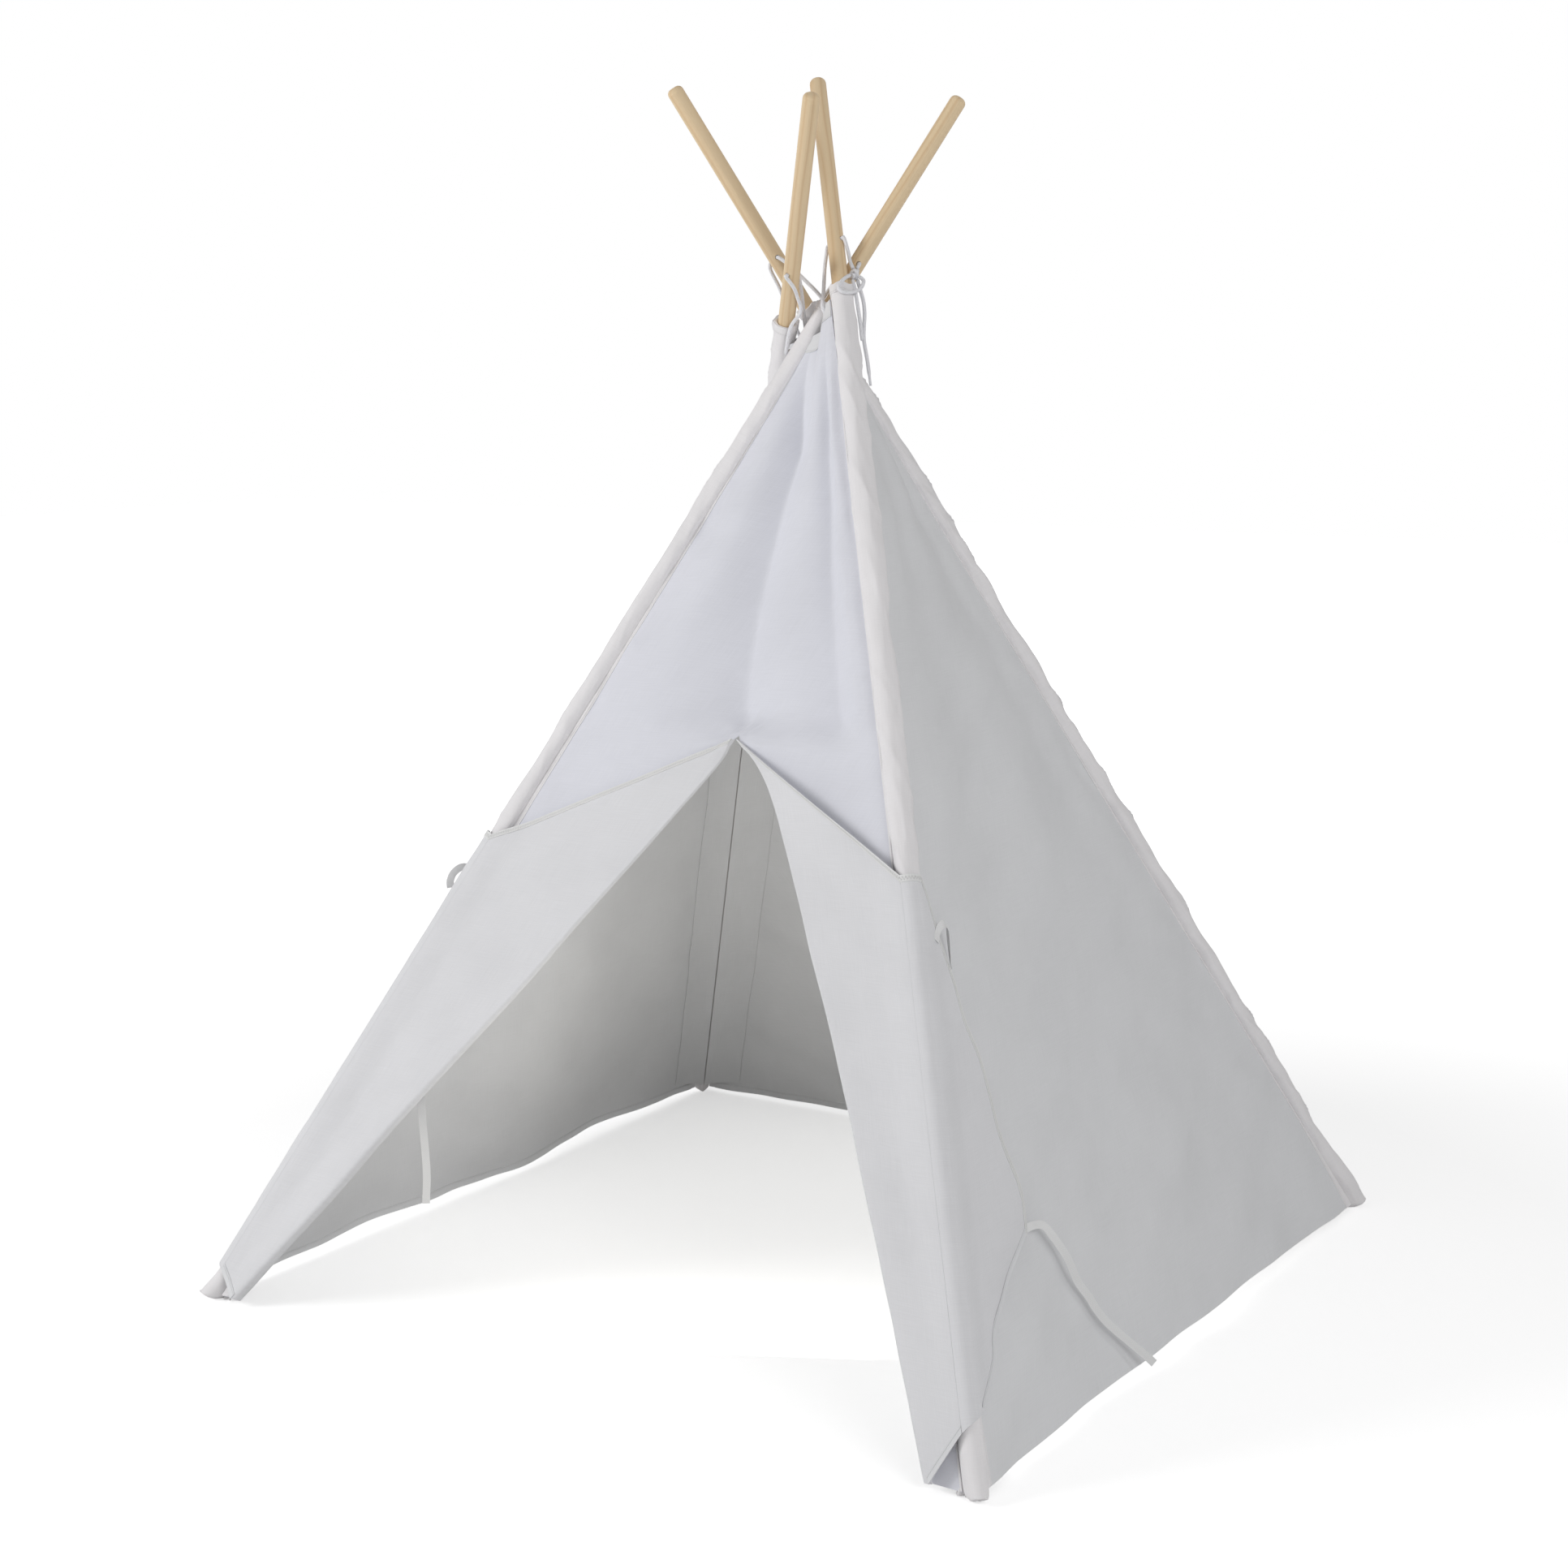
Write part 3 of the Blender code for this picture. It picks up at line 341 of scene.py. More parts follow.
class Sheets:
    """Gathers sheets of cloth with thickness, true smooth normals and a map in metres, into one mesh."""

    def __init__(self):
        self.points = []
        self.faces = []
        self.maps = []
        self.normals = []
        self.slots = []

    def face(self, corners, maps, normals, slot):
        self.faces.append(corners)
        self.maps += maps
        self.normals += normals
        self.slots.append(slot)

    def add(self, rows, normals, maps, thickness=CLOTH, slot=0):
        count, width = len(rows), len(rows[0])
        start = len(self.points)
        half = thickness / 2
        for sign in (1, -1):
            for row, row_normals in zip(rows, normals):
                self.points += [point + normal * (half * sign) for point, normal in zip(row, row_normals)]
        under = start + count * width
        for r in range(count - 1):
            for c in range(width - 1):
                quad = ((r, c), (r, c + 1), (r + 1, c + 1), (r + 1, c))
                corners = [start + i * width + j for i, j in quad]
                uv = [maps[i][j] for i, j in quad]
                up = [normals[i][j] for i, j in quad]
                self.face(corners, uv, up, slot)
                self.face([under + corner - start for corner in reversed(corners)], uv[::-1],
                          [-normal for normal in reversed(up)], slot)
        rim = [(0, c) for c in range(width)] + [(r, width - 1) for r in range(1, count)]
        rim += [(count - 1, c) for c in range(width - 2, -1, -1)] + [(r, 0) for r in range(count - 2, 0, -1)]
        for (i, j), (k, m) in zip(rim, rim[1:] + rim[:1]):
            low, high = i * width + j, k * width + m
            corners = [start + high, start + low, under + low, under + high]
            uv = [maps[k][m], maps[i][j], maps[i][j], maps[k][m]]
            self.face(corners, uv, [Vector()] * 4, slot)

    def wrap(self, rings, runs, width, ends=((0.0, 0.0), (0.0, 0.0))):
        """Rings of points joined into a closed tube, mapped by the way round and the run along."""
        sides = len(rings[0])
        base = len(self.points)
        for ring in rings:
            self.points += ring
        for index, (run, after_run) in enumerate(zip(runs, runs[1:])):
            low, high = base + index * sides, base + (index + 1) * sides
            for side in range(sides):
                after = (side + 1) % sides
                u, w = side / sides * width, (side + 1) / sides * width
                maps = [(u, run), (w, run), (w, after_run), (u, after_run)]
                self.face([low + side, low + after, high + after, high + side], maps, [Vector()] * 4, 0)
        for first, order, place in ((base, -1, ends[0]), (len(self.points) - sides, 1, ends[1])):
            ring = [first + side for side in range(sides)][::order]
            self.face(ring, [place] * sides, [Vector()] * sides, 0)

    def make(self, name, materials):
        data = bpy.data.meshes.new(name)
        data.from_pydata(self.points, [], self.faces)
        layer = data.uv_layers.new(name="cloth")
        layer.data.foreach_set("uv", [value for uv in self.maps for value in uv])
        data.polygons.foreach_set("material_index", self.slots)
        for material in materials:
            data.materials.append(material)
        data.shade_smooth()
        data.normals_split_custom_set([tuple(normal) for normal in self.normals])
        return add_object(name, data)


def grid_normals(rows, flip=False):
    """Normals of a grid of points from its neighbours."""
    count, width = len(rows), len(rows[0])
    found = []
    for r in range(count):
        line = []
        for c in range(width):
            side = rows[r][min(c + 1, width - 1)] - rows[r][max(c - 1, 0)]
            up = rows[min(r + 1, count - 1)][c] - rows[max(r - 1, 0)][c]
            normal = side.cross(up).normalized()
            line.append(-normal if flip else normal)
        found.append(line)
    return found


def tube(sheets, route, radius, sides=12, taper=None):
    """A round cord along a route, with a map of share round and metres along."""
    last = len(route) - 1
    tangents = [(route[min(i + 1, last)] - route[max(i - 1, 0)]).normalized() for i in range(last + 1)]
    side = tangents[0].orthogonal().normalized()
    rings, runs = [], [0.0]
    for index, (point, tangent) in enumerate(zip(route, tangents)):
        side = (side - tangent * side.dot(tangent)).normalized()
        other = tangent.cross(side)
        if index:
            runs.append(runs[-1] + (point - route[index - 1]).length)
        size = radius * (taper(index / last) if taper else 1)
        turns = [step / sides * math.tau for step in range(sides)]
        rings.append([point + (side * math.cos(turn) + other * math.sin(turn)) * size for turn in turns])
    sheets.wrap(rings, runs, 1, ((0.5, runs[0]), (0.5, runs[-1])))
    return runs[-1]


def smooth_route(points, step):
    ends = [points[0] * 2 - points[1]] + list(points) + [points[-1] * 2 - points[-2]]
    route = []
    for before, start, end, after in zip(ends, ends[1:], ends[2:], ends[3:]):
        count = max(1, round((end - start).length / step))
        for index in range(count):
            t = index / count
            curve = start * 2 + (end - before) * t
            curve += (before * 2 - start * 5 + end * 4 - after) * t**2
            curve += (start * 3 - before - end * 3 + after) * t**3
            route.append(curve / 2)
    return route + [points[-1]]


# ---- Materials ----
class Nodes:
    """Short ways to add and link the nodes of a material or a world."""

    def __init__(self, owner):
        owner.use_nodes = True
        self.owner = owner
        self.tree = owner.node_tree

    def fill(self, node, inputs):
        """Links each input of a node to a socket, or sets it to a value."""
        for key, value in inputs.items():
            if isinstance(value, bpy.types.NodeSocket):
                self.tree.links.new(value, node.inputs[key])
            else:
                node.inputs[key].default_value = value
        return node

    def add(self, kind, inputs=(), **settings):
        node = self.tree.nodes.new(kind)
        for key, value in settings.items():
            setattr(node, key, value)
        return self.fill(node, dict(inputs))

    def finish(self, inputs):
        """The material, with its shader's inputs filled."""
        self.fill(self.tree.nodes["Principled BSDF"], inputs)
        return self.owner

    def math(self, operation, *inputs):
        return self.add("ShaderNodeMath", enumerate(inputs), operation=operation).outputs[0]

    def vector(self, operation, *inputs):
        return self.add("ShaderNodeVectorMath", enumerate(inputs), operation=operation).outputs

    def mapping(self, vector, **inputs):
        return self.add("ShaderNodeMapping", {"Vector": vector, **inputs}).outputs[0]

    def noise(self, vector, scale, detail, output=0):
        """Noise, at one scale or at one along each axis."""
        if isinstance(scale, tuple):
            vector, scale = self.mapping(vector, Scale=scale), 1.0
        return self.add("ShaderNodeTexNoise", {"Vector": vector, "Scale": scale, "Detail": detail}).outputs[output]

    def cloth_map(self):
        return self.add("ShaderNodeUVMap", uv_map="cloth").outputs[0]

    def own_place(self):
        return self.add("ShaderNodeTexCoord").outputs["Object"]

    def seen(self):
        """1 for what the camera sees, also in a mirror or through glass, and 0 for light on other things."""
        path = self.add("ShaderNodeLightPath").outputs
        seen = self.math("MAXIMUM", path["Is Camera Ray"], path["Is Glossy Ray"])
        return self.math("MAXIMUM", seen, path["Is Transmission Ray"])

    def split(self, vector):
        return tuple(self.add("ShaderNodeSeparateXYZ", {0: vector}).outputs)

    def shades(self, factor, colours, places):
        ramp = self.add("ShaderNodeValToRGB", {0: factor})
        elements = ramp.color_ramp.elements
        for element, end in ((elements[0], 0), (elements[1], -1)):
            element.position = places[end]
            element.color = (*colours[end], 1)
        for place, colour in list(zip(places, colours))[1:-1]:
            elements.new(place).color = (*colour, 1)
        return ramp.outputs[0]

    def multiply(self, colour, factor):
        """A colour darkened by a factor from 0 to 1."""
        grey = self.add("ShaderNodeCombineColor", {0: factor, 1: factor, 2: factor}).outputs[0]
        inputs = {0: 1.0, 6: colour, 7: grey}
        return self.add("ShaderNodeMix", inputs, data_type="RGBA", blend_type="MULTIPLY").outputs[2]

    def bump(self, height, strength, distance, onto=None):
        inputs = {"Height": height, "Strength": strength, "Distance": distance}
        if onto is not None:
            inputs["Normal"] = onto
        return self.add("ShaderNodeBump", inputs).outputs[0]


def tinted(colour, share):
    return tuple(channel * share for channel in colour)


def material_nodes(name):
    return Nodes(bpy.data.materials.new(name))


def cloth_noise(nodes, vector, colour):
    """Broad and fine unevenness of dyed cotton, with slubs along both threads."""
    shades = (tinted(colour, 0.965), colour, tinted(colour, 1.02))
    base = nodes.shades(nodes.noise(vector, 7.0, 3.0), shades, (0.3, 0.5, 0.72))
    slub, weft = (nodes.noise(vector, scale, 1.0) for scale in ((900.0, 26.0, 1.0), (26.0, 900.0, 1.0)))
    slubs = nodes.math("ADD", slub, weft)
    return nodes.multiply(base, nodes.math("MULTIPLY_ADD", slubs, 0.07, 0.93)), slubs


def weave(nodes, vector, onto):
    """The normals of a plain weave, over others: each thread passes over and under the next."""
    u, v, _ = nodes.split(vector)
    rows, columns = (nodes.math("SINE", nodes.math("MULTIPLY", way, math.pi / THREAD_PITCH)) for way in (u, v))
    return nodes.bump(nodes.math("MULTIPLY", rows, columns), 0.22, 0.00012, onto)


def canvas(name, colour):
    nodes = material_nodes(name)
    vector = nodes.cloth_map()
    base, slubs = cloth_noise(nodes, vector, colour)
    creases = nodes.noise(vector, (9.0, 5.0, 1.0), 4.0)
    threads = weave(nodes, vector, nodes.bump(creases, 0.35, 0.006))
    return nodes.finish({
        "Base Color": base, "Normal": nodes.bump(slubs, 0.25, 0.0002, threads), "Roughness": 0.88,
        "Sheen Weight": 0.18, "Sheen Roughness": 0.5, "Specular IOR Level": 0.25,
    })


def stitch(nodes, off, half):
    """1 on a line of thread and 0 off it, from the distance to its middle."""
    return nodes.math("SUBTRACT", 1.0, nodes.math("MINIMUM", nodes.math("DIVIDE", off, half), 1.0))


def hem_cloth(name, colour, width, zigzag):
    """Doubled cloth with its stitching: a straight row of stitches, or an overlocked zigzag."""
    nodes = material_nodes(name)
    vector = nodes.cloth_map()
    base, _ = cloth_noise(nodes, vector, colour)
    u, v, _ = nodes.split(vector)
    if zigzag:
        half_pitch = 0.0018
        way = nodes.math("DIVIDE", nodes.math("PINGPONG", u, half_pitch), half_pitch)
        place = nodes.math("MULTIPLY_ADD", way, width * 0.5, width * 0.28)
        line = stitch(nodes, nodes.math("ABSOLUTE", nodes.math("SUBTRACT", v, place)), 0.0007)
    else:
        row = stitch(nodes, nodes.math("ABSOLUTE", nodes.math("SUBTRACT", v, width - 0.0022)), 0.00055)
        dash = nodes.math("PINGPONG", u, 0.0016)
        line = nodes.math("MULTIPLY", row, nodes.math("GREATER_THAN", dash, 0.0004))
    shade = nodes.math("SUBTRACT", 1.0, nodes.math("MULTIPLY", line, 0.10))
    threads = weave(nodes, vector, nodes.bump(nodes.noise(vector, 140.0, 1.0), 0.30, 0.0012))
    return nodes.finish({
        "Base Color": nodes.multiply(base, shade), "Normal": nodes.bump(line, 0.9, 0.0005, threads),
        "Roughness": 0.86, "Sheen Weight": 0.15, "Specular IOR Level": 0.25,
    })


def braid(name, colour, strands, pitch, depth):
    """Braided or woven cord and tape, from a map of share round and metres along, with painted shade in the grooves
    between the strands.
    """
    nodes = material_nodes(name)
    vector = nodes.cloth_map()
    u, v, _ = nodes.split(vector)
    turns = nodes.math("MULTIPLY", u, math.tau * strands)
    travel = nodes.math("MULTIPLY", v, math.tau / pitch)
    left, right = (nodes.math("SINE", nodes.math(way, turns, travel)) for way in ("ADD", "SUBTRACT"))
    height = nodes.math("MAXIMUM", left, right)
    fuzz = nodes.noise(vector, 260.0, 2.0)
    base = nodes.shades(fuzz, (tinted(colour, 0.95), colour), (0.3, 0.7))
    # The base colour is darkened where the strands dip: painted shade in the grooves of the braid.
    return nodes.finish({
        "Base Color": nodes.multiply(base, nodes.math("MULTIPLY_ADD", height, 0.04, 0.96)),
        "Normal": nodes.bump(fuzz, 0.2, 0.0003, nodes.bump(height, 0.45, depth)),
        "Roughness": 0.85, "Sheen Weight": 0.2, "Specular IOR Level": 0.25,
    })


def pine(name, pole, seed):
    """Pale sanded pine: growth rings about a line beside the dowel, fibres and a few darker streaks."""
    nodes = material_nodes(name)
    turn = pole.along.to_track_quat("Z", "Y").to_matrix().transposed()
    local = nodes.mapping(nodes.own_place(), Location=turn @ -pole.foot, Rotation=turn.to_euler())
    warp_map = nodes.mapping(local, Location=(seed, seed * 2, seed * 3), Scale=(14.0, 14.0, 3.2))
    warp = nodes.vector("SUBTRACT", nodes.noise(warp_map, 1.0, 2.0, 1), (0.5, 0.5, 0.5))[0]
    warped = nodes.vector("MULTIPLY_ADD", warp, (0.012, 0.012, 0.0), local)[0]
    beside = (0.021 + 0.004 * seed, 0.013 - 0.003 * seed, 0.0)
    radius = nodes.vector("LENGTH", nodes.mapping(warped, Location=beside, Scale=(1.0, 1.0, 0.0)))["Value"]
    ring = nodes.math("DIVIDE", nodes.math("PINGPONG", radius, 0.0044), 0.0044)
    fibre = nodes.noise(local, (150.0, 150.0, 3.0), 1.0)
    tone_map = nodes.mapping(local, Location=(seed * 5, 0.0, seed), Scale=(75.0, 75.0, 2.6))
    tone = nodes.noise(tone_map, 1.0, 3.0)
    wood = nodes.shades(
        ring, ((0.800, 0.626, 0.405), (0.790, 0.610, 0.390), (0.745, 0.552, 0.338), (0.700, 0.505, 0.298)),
        (0.0, 0.50, 0.86, 1.0)
    )
    toned = nodes.multiply(wood, nodes.math("MULTIPLY_ADD", tone, 0.22, 0.87))
    return nodes.finish({
        "Base Color": nodes.multiply(toned, nodes.math("MULTIPLY_ADD", fibre, 0.08, 0.95)),
        "Roughness": nodes.math("MULTIPLY_ADD", fibre, 0.16, 0.46),
        "Normal": nodes.bump(fibre, 0.03, 0.0002, nodes.bump(ring, 0.06, 0.0002)), "Specular IOR Level": 0.35,
    })


def dark_metal(name):
    nodes = material_nodes(name)
    wear = nodes.noise(nodes.own_place(), 420.0, 4.0)
    shades = ((0.20, 0.18, 0.16), (0.36, 0.33, 0.30), (0.52, 0.49, 0.45))
    return nodes.finish({
        "Base Color": nodes.shades(wear, shades, (0.3, 0.5, 0.75)), "Metallic": 1.0,
        "Roughness": nodes.math("MULTIPLY_ADD", wear, 0.3, 0.22), "Normal": nodes.bump(wear, 0.15, 0.0002),
    })


COOL = (0.775, 0.782, 0.840)
PLAIN = (0.775, 0.780, 0.795)
WARM = (0.875, 0.857, 0.867)
INNER = (0.775, 0.775, 0.795)
MATERIALS = {
    "front": canvas("canvas_front", COOL),
    "side": canvas("canvas_side", PLAIN),
    "sleeve": canvas("canvas_sleeve", WARM),
    "flap": canvas("canvas_flap", INNER),
    "seam": hem_cloth("canvas_seam", WARM, SEAM_WIDTH, False),
    "band": hem_cloth("canvas_band", PLAIN, BAND_WIDTH, False),
    "hem": hem_cloth("canvas_hem", (0.820, 0.820, 0.815), HEM_WIDTH, True),
    "cord": braid("cotton_cord", (0.90, 0.90, 0.93), 4, 0.0085, 0.0003),
    "tape": braid("cotton_tape", (0.88, 0.88, 0.88), 5, 0.0030, 0.0002),
    "eyelet": dark_metal("eyelet_metal"),
}


def finish_node(name, material):
    """Gives a node that stays its detailed material."""
    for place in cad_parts[name].material_slots:
        place.material = material


# ---- Camera, at the photograph's place ----
def make_camera(azimuth, elevation, roll, place, lens):
    azimuth, elevation, roll = (math.radians(angle) for angle in (azimuth, elevation, roll))
    back = Vector((math.sin(azimuth) * math.cos(elevation), -math.cos(azimuth) * math.cos(elevation),
                   math.sin(elevation)))
    right = Vector((math.cos(azimuth), math.sin(azimuth), 0))
    up = back.cross(right)
    tilted = right * math.cos(roll) + up * math.sin(roll)
    rotation = Matrix((tilted, back.cross(tilted), back)).transposed()
    data = bpy.data.cameras.new("camera")
    data.sensor_width = 36
    data.lens = lens
    data.clip_end = 60
    camera = add_object("camera", data)
    camera.matrix_world = Matrix.Translation(place) @ rotation.to_4x4()
    bpy.context.scene.camera = camera


make_camera(32.4316, 9.2146, -0.1464, Vector((1.89719, -3.05090, 1.24175)), 61.58)


# ---- Cord of the crown ----
def hole_direction(pole):
    return pole.square(Vector((math.cos(pole.bearing), math.sin(pole.bearing), 0)))


def through(centre, direction, half):
    return [centre + direction * reach for reach in (-half - PASS_REACH, -half, half, half + PASS_REACH)]


def through_hole(name, way):
    pole = POLES[name]
    return through(pole.at(pole.hole), hole_direction(pole) * -way, POLE_DIAMETER / 2)


def through_eyelet(name, way):
    panel = PANELS[name]
    along = panel.top - EYELET_DROP
    middle = panel.over(along, panel.width(along) / 2, PANEL_PROUD)
    return through(middle, panel.normal(along) * -way, EYELET_HALF)


def lacing_route():
    free = (
        ((0.0700, -0.0049, 1.3450), (0.0633, -0.0008, 1.3541), (0.0576, 0.0035, 1.3668)),
        ((0.0262, 0.0012, 1.3653), (0.0270, -0.0049, 1.3463), (0.0315, -0.0150, 1.3169),
         (0.0369, -0.0264, 1.2958), (0.0447, -0.0240, 1.2791), (0.0405, -0.0105, 1.2650)),
        ((0.0527, 0.0103, 1.2740), (0.0452, 0.0128, 1.2870), (0.0208, 0.0171, 1.2912),
         (0.0085, 0.0126, 1.3113), (-0.0107, -0.0033, 1.3361), (-0.0217, -0.0157, 1.3511)),
        ((-0.0615, 0.0004, 1.3480), (-0.0526, 0.0094, 1.3221), (-0.0435, 0.0186, 1.2897),
         (-0.0330, 0.0315, 1.2555)),
        ((-0.0120, 0.0135, 1.2500), (-0.0085, 0.0010, 1.2830), (-0.0010, -0.0165, 1.3120),
         (0.0062, -0.0365, 1.3400)),
        ((0.0107, -0.0562, 1.3210), (0.0086, -0.0431, 1.3084), (0.0063, -0.0314, 1.2898),
         (-0.0085, -0.0330, 1.2690)),
        ((-0.0125, -0.0040, 1.2480), (0.0010, 0.0010, 1.2750), (0.0180, 0.0080, 1.3090),
         (0.0340, 0.0230, 1.3370)),
        ((0.0736, 0.0010, 1.3456),),
    )
    passes = (
        through_hole("front_right", 1), through_eyelet("right", -1), through_hole("rear_right", 1),
        through_eyelet("back", 1), through_hole("rear_left", -1), through_eyelet("left", 1),
        through_hole("front_left", -1), [],
    )
    points = []
    for places, passing in zip(free, passes):
        points += [Vector(place) for place in places] + passing
    return points


def knot_route():
    axis = Vector((0.36, 0.93, -0.10)).normalized()
    up = axis.orthogonal().normalized()
    aside = axis.cross(up)
    centre = Vector((0.0728, -0.0052, 1.3372))
    points = []
    for step in range(61):
        turns = (step / 60 - 0.5) * 1.8
        away = up * math.cos(turns * math.tau) + aside * math.sin(turns * math.tau)
        points.append(centre + axis * 0.0054 * turns + away * 0.0048)
    return points


LOOP = ((0.0701, -0.0128, 1.3359), (0.0704, -0.0238, 1.3327), (0.0700, -0.0343, 1.3274),
        (0.0694, -0.0400, 1.3221), (0.0726, -0.0420, 1.3164), (0.0784, -0.0385, 1.3138),
        (0.0838, -0.0297, 1.3138), (0.0879, -0.0186, 1.3173), (0.0892, -0.0117, 1.3238),
        (0.0861, -0.0054, 1.3297), (0.0812, -0.0079, 1.3340))
SHORT_TAIL = ((0.0731, -0.0107, 1.3294), (0.0777, -0.0145, 1.3225), (0.0819, -0.0171, 1.3110),
              (0.0900, -0.0235, 1.2880), (0.0950, -0.0267, 1.2704), (0.0987, -0.0291, 1.2521))
LONG_TAIL = ((0.0762, -0.0036, 1.3296), (0.0828, -0.0071, 1.3163), (0.0892, -0.0100, 1.3017),
             (0.0923, -0.0123, 1.2857), (0.0925, -0.0141, 1.2694), (0.0934, -0.0156, 1.2522),
             (0.0986, -0.0152, 1.2247), (0.1035, -0.0156, 1.1942))


def make_cord(name, route, far_end=None, taper=None):
    sheets = Sheets()
    length = tube(sheets, route, CORD_RADIUS, taper=taper)
    obj = sheets.make(name + "_rope", [MATERIALS["cord"]])
    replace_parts(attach(obj, "frame_front_left"), name)
    if far_end:
        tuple(route[0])
    return obj


make_cord("lacing_cord", smooth_route(lacing_route(), ROUTE_STEP))
make_cord("knot", knot_route())
for name, places, far_end, taper in (
    ("bow_loop", LOOP, "object", None),
    ("cord_tail_short", SHORT_TAIL, "bare", lambda share: 1 - 0.25 * smooth_step((share - 0.95) / 0.05)),
    ("cord_tail_long", LONG_TAIL, "bare", lambda share: 1 - 0.30 * smooth_step((share - 0.88) / 0.03)),
):
    make_cord(name, smooth_route([Vector(place) for place in places], ROUTE_STEP), far_end, taper)


# ---- Tapes ----
TAPES = {
    "tie_right_upper": (
        "right", "flap_right_side", (
            (0.634, 0.0275, 0.0121, 0), (0.643, 0.0325, 0.0111, 0), (0.650, 0.0368, 0.0135, 5),
            (0.6515, 0.0430, 0.0165, 15), (0.6455, 0.0500, 0.0165, 30), (0.636, 0.0555, 0.0140, 45),
            (0.621, 0.0600, 0.0105, 45), (0.607, 0.0605, 0.0100, 40), (0.596, 0.0590, 0.0110, 30),
        ),
    ),
    "tie_right_lower": (
        "right", "flap_right_side", (
            (0.243, 0.1490, 0.0071, 0), (0.247, 0.1620, 0.0071, 0), (0.250, 0.1750, 0.0082, 5),
            (0.2495, 0.1900, 0.0120, -15), (0.2435, 0.2104, 0.0150, -25), (0.2264, 0.2250, 0.0170, -35),
            (0.1904, 0.2599, 0.0170, -45), (0.154, 0.2932, 0.0160, -50), (0.1281, 0.3152, 0.0150, -50),
            (0.1075, 0.3318, 0.0150, -50), (0.0837, 0.3543, 0.0160, -45), (0.049, 0.3872, 0.0190, -45),
            (0.0268, 0.4073, 0.0230, -45), (0.0110, 0.4205, 0.0260, -45),
        ),
    ),
    "tie_left_upper": (
        "left", "flap_left_side", (
            (0.632, 0.0300, 0.0117, 0), (0.641, 0.0315, 0.0125, 0), (0.649, 0.0290, 0.0175, -5),
            (0.6545, 0.0220, 0.0240, -20), (0.6535, 0.0120, 0.0285, -35), (0.645, 0.0060, 0.0300, -45),
            (0.634, 0.0060, 0.0280, -45), (0.625, 0.0100, 0.0240, -40),
        ),
    ),
    "tie_inner_left": (
        "front", "frame_front_left", (
            (0.372, 0.0980, -0.0016, 0), (0.366, 0.1080, -0.0016, 0), (0.358, 0.1160, -0.0024, 0),
            (0.345, 0.1225, -0.0065, 10), (0.325, 0.1310, -0.0140, 20), (0.300, 0.1420, -0.0250, 30),
            (0.270, 0.1550, -0.0380, 40), (0.235, 0.1690, -0.0530, 45), (0.197, 0.1830, -0.0680, 50),
        ),
    ),
}


def in_plane(panel, pole):
    """The direction in a panel, square to one of its poles, from the pole into the panel."""
    inward = panel.span(0.7) * (1 if pole is panel.left else -1)
    return pole.square(inward)


def gather(obj, panel, pole):
    tuple(in_plane(panel, pole))
    tuple(pole.foot)
    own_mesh(obj)


def make_tape(name):
    panel_name, body, places = TAPES[name]
    panel = PANELS[panel_name]
    pole = panel.right if panel_name == "left" else panel.left
    points = [
        Vector((*panel.from_pole(pole, along, across, lift), math.radians(turn) * TAPE_WIDTH))
        for along, across, lift, turn in places
    ]
    route = smooth_route(points, ROUTE_STEP)
    centres = [point.to_3d() for point in route]
    normal = panel.normal(places[0][0])
    rows, normals, maps = [], [], []
    run = 0
    for index, centre in enumerate(centres):
        before, after = centres[max(index - 1, 0)], centres[min(index + 1, len(centres) - 1)]
        tangent = (after - before).normalized()
        wide = tangent.cross(normal).normalized()
        flat = wide.cross(tangent)
        turn = route[index].w / TAPE_WIDTH
        side = (wide * math.cos(turn) + flat * math.sin(turn)) * TAPE_WIDTH / 2
        up = (flat * math.cos(turn) - wide * math.sin(turn)).normalized()
        if index:
            run += (centre - centres[index - 1]).length
        rows.append([centre - side, centre + side])
        normals.append([up, up])
        maps.append([(0.0, run), (1.0, run)])
    if faces_away(rows, normals[0][0]):
        rows, normals, maps = turned(rows, normals, maps)
    sheets = Sheets()
    sheets.add(rows, normals, maps, TAPE_CLOTH)
    obj = sheets.make(name + "_woven", [MATERIALS["tape"]])
    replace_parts(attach(obj, body), name)
    if name != "tie_left_upper":
        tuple(centres[0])
    gather(obj, panel, pole)
    return obj


tapes = {name: make_tape(name) for name in TAPES}


# ---- Cover ----
def between(places, value):
    """The value read from a list of places, eased between them."""
    if value <= places[0][0]:
        return places[0][1]
    for (low, first), (high, second) in zip(places, places[1:]):
        if value < high:
            return mix(first, second, (value - low) / (high - low))
    return places[-1][1]


def roll_at(along, side):
    low, high = ROLLS[side]
    return mix(low, high, smooth_step(along / DOOR_ALONG))


def crease_across(along, side):
    front = PANELS["front"]
    share = min(1, (along - front.bottom) / (DOOR_ALONG - front.bottom))
    place = DOOR_SHARE if side == "left" else 1 - DOOR_SHARE
    leg = LEG_WIDTHS[side]
    straight = leg + (front.width(max(along, DOOR_ALONG)) * place - leg) * share
    bow = sum(between(CREASE_BOWS[side], along + step) for step in (-0.02, -0.01, 0, 0.01, 0.02)) / 5
    fade = smooth_step((DOOR_ALONG - along) / 0.03)
    return straight + (bow - CREASE_GAP - roll_at(along, side) / 2) * fade


def seam_reach(panel, pole, along):
    """How far from the pole's centre line the outer edge of the sleeve's seam lies on a panel."""
    low = max(0, 1 - along / 0.17)
    if panel.name == "front":
        return mix(0.027, 0.0165, along / 1.5) if pole.name == "front_left" else 0.0170
    if panel.name == "right" and pole.name == "rear_right":
        return 0.0175 + 0.016 * low**1.5
    return 0.0185 + 0.010 * low**1.5


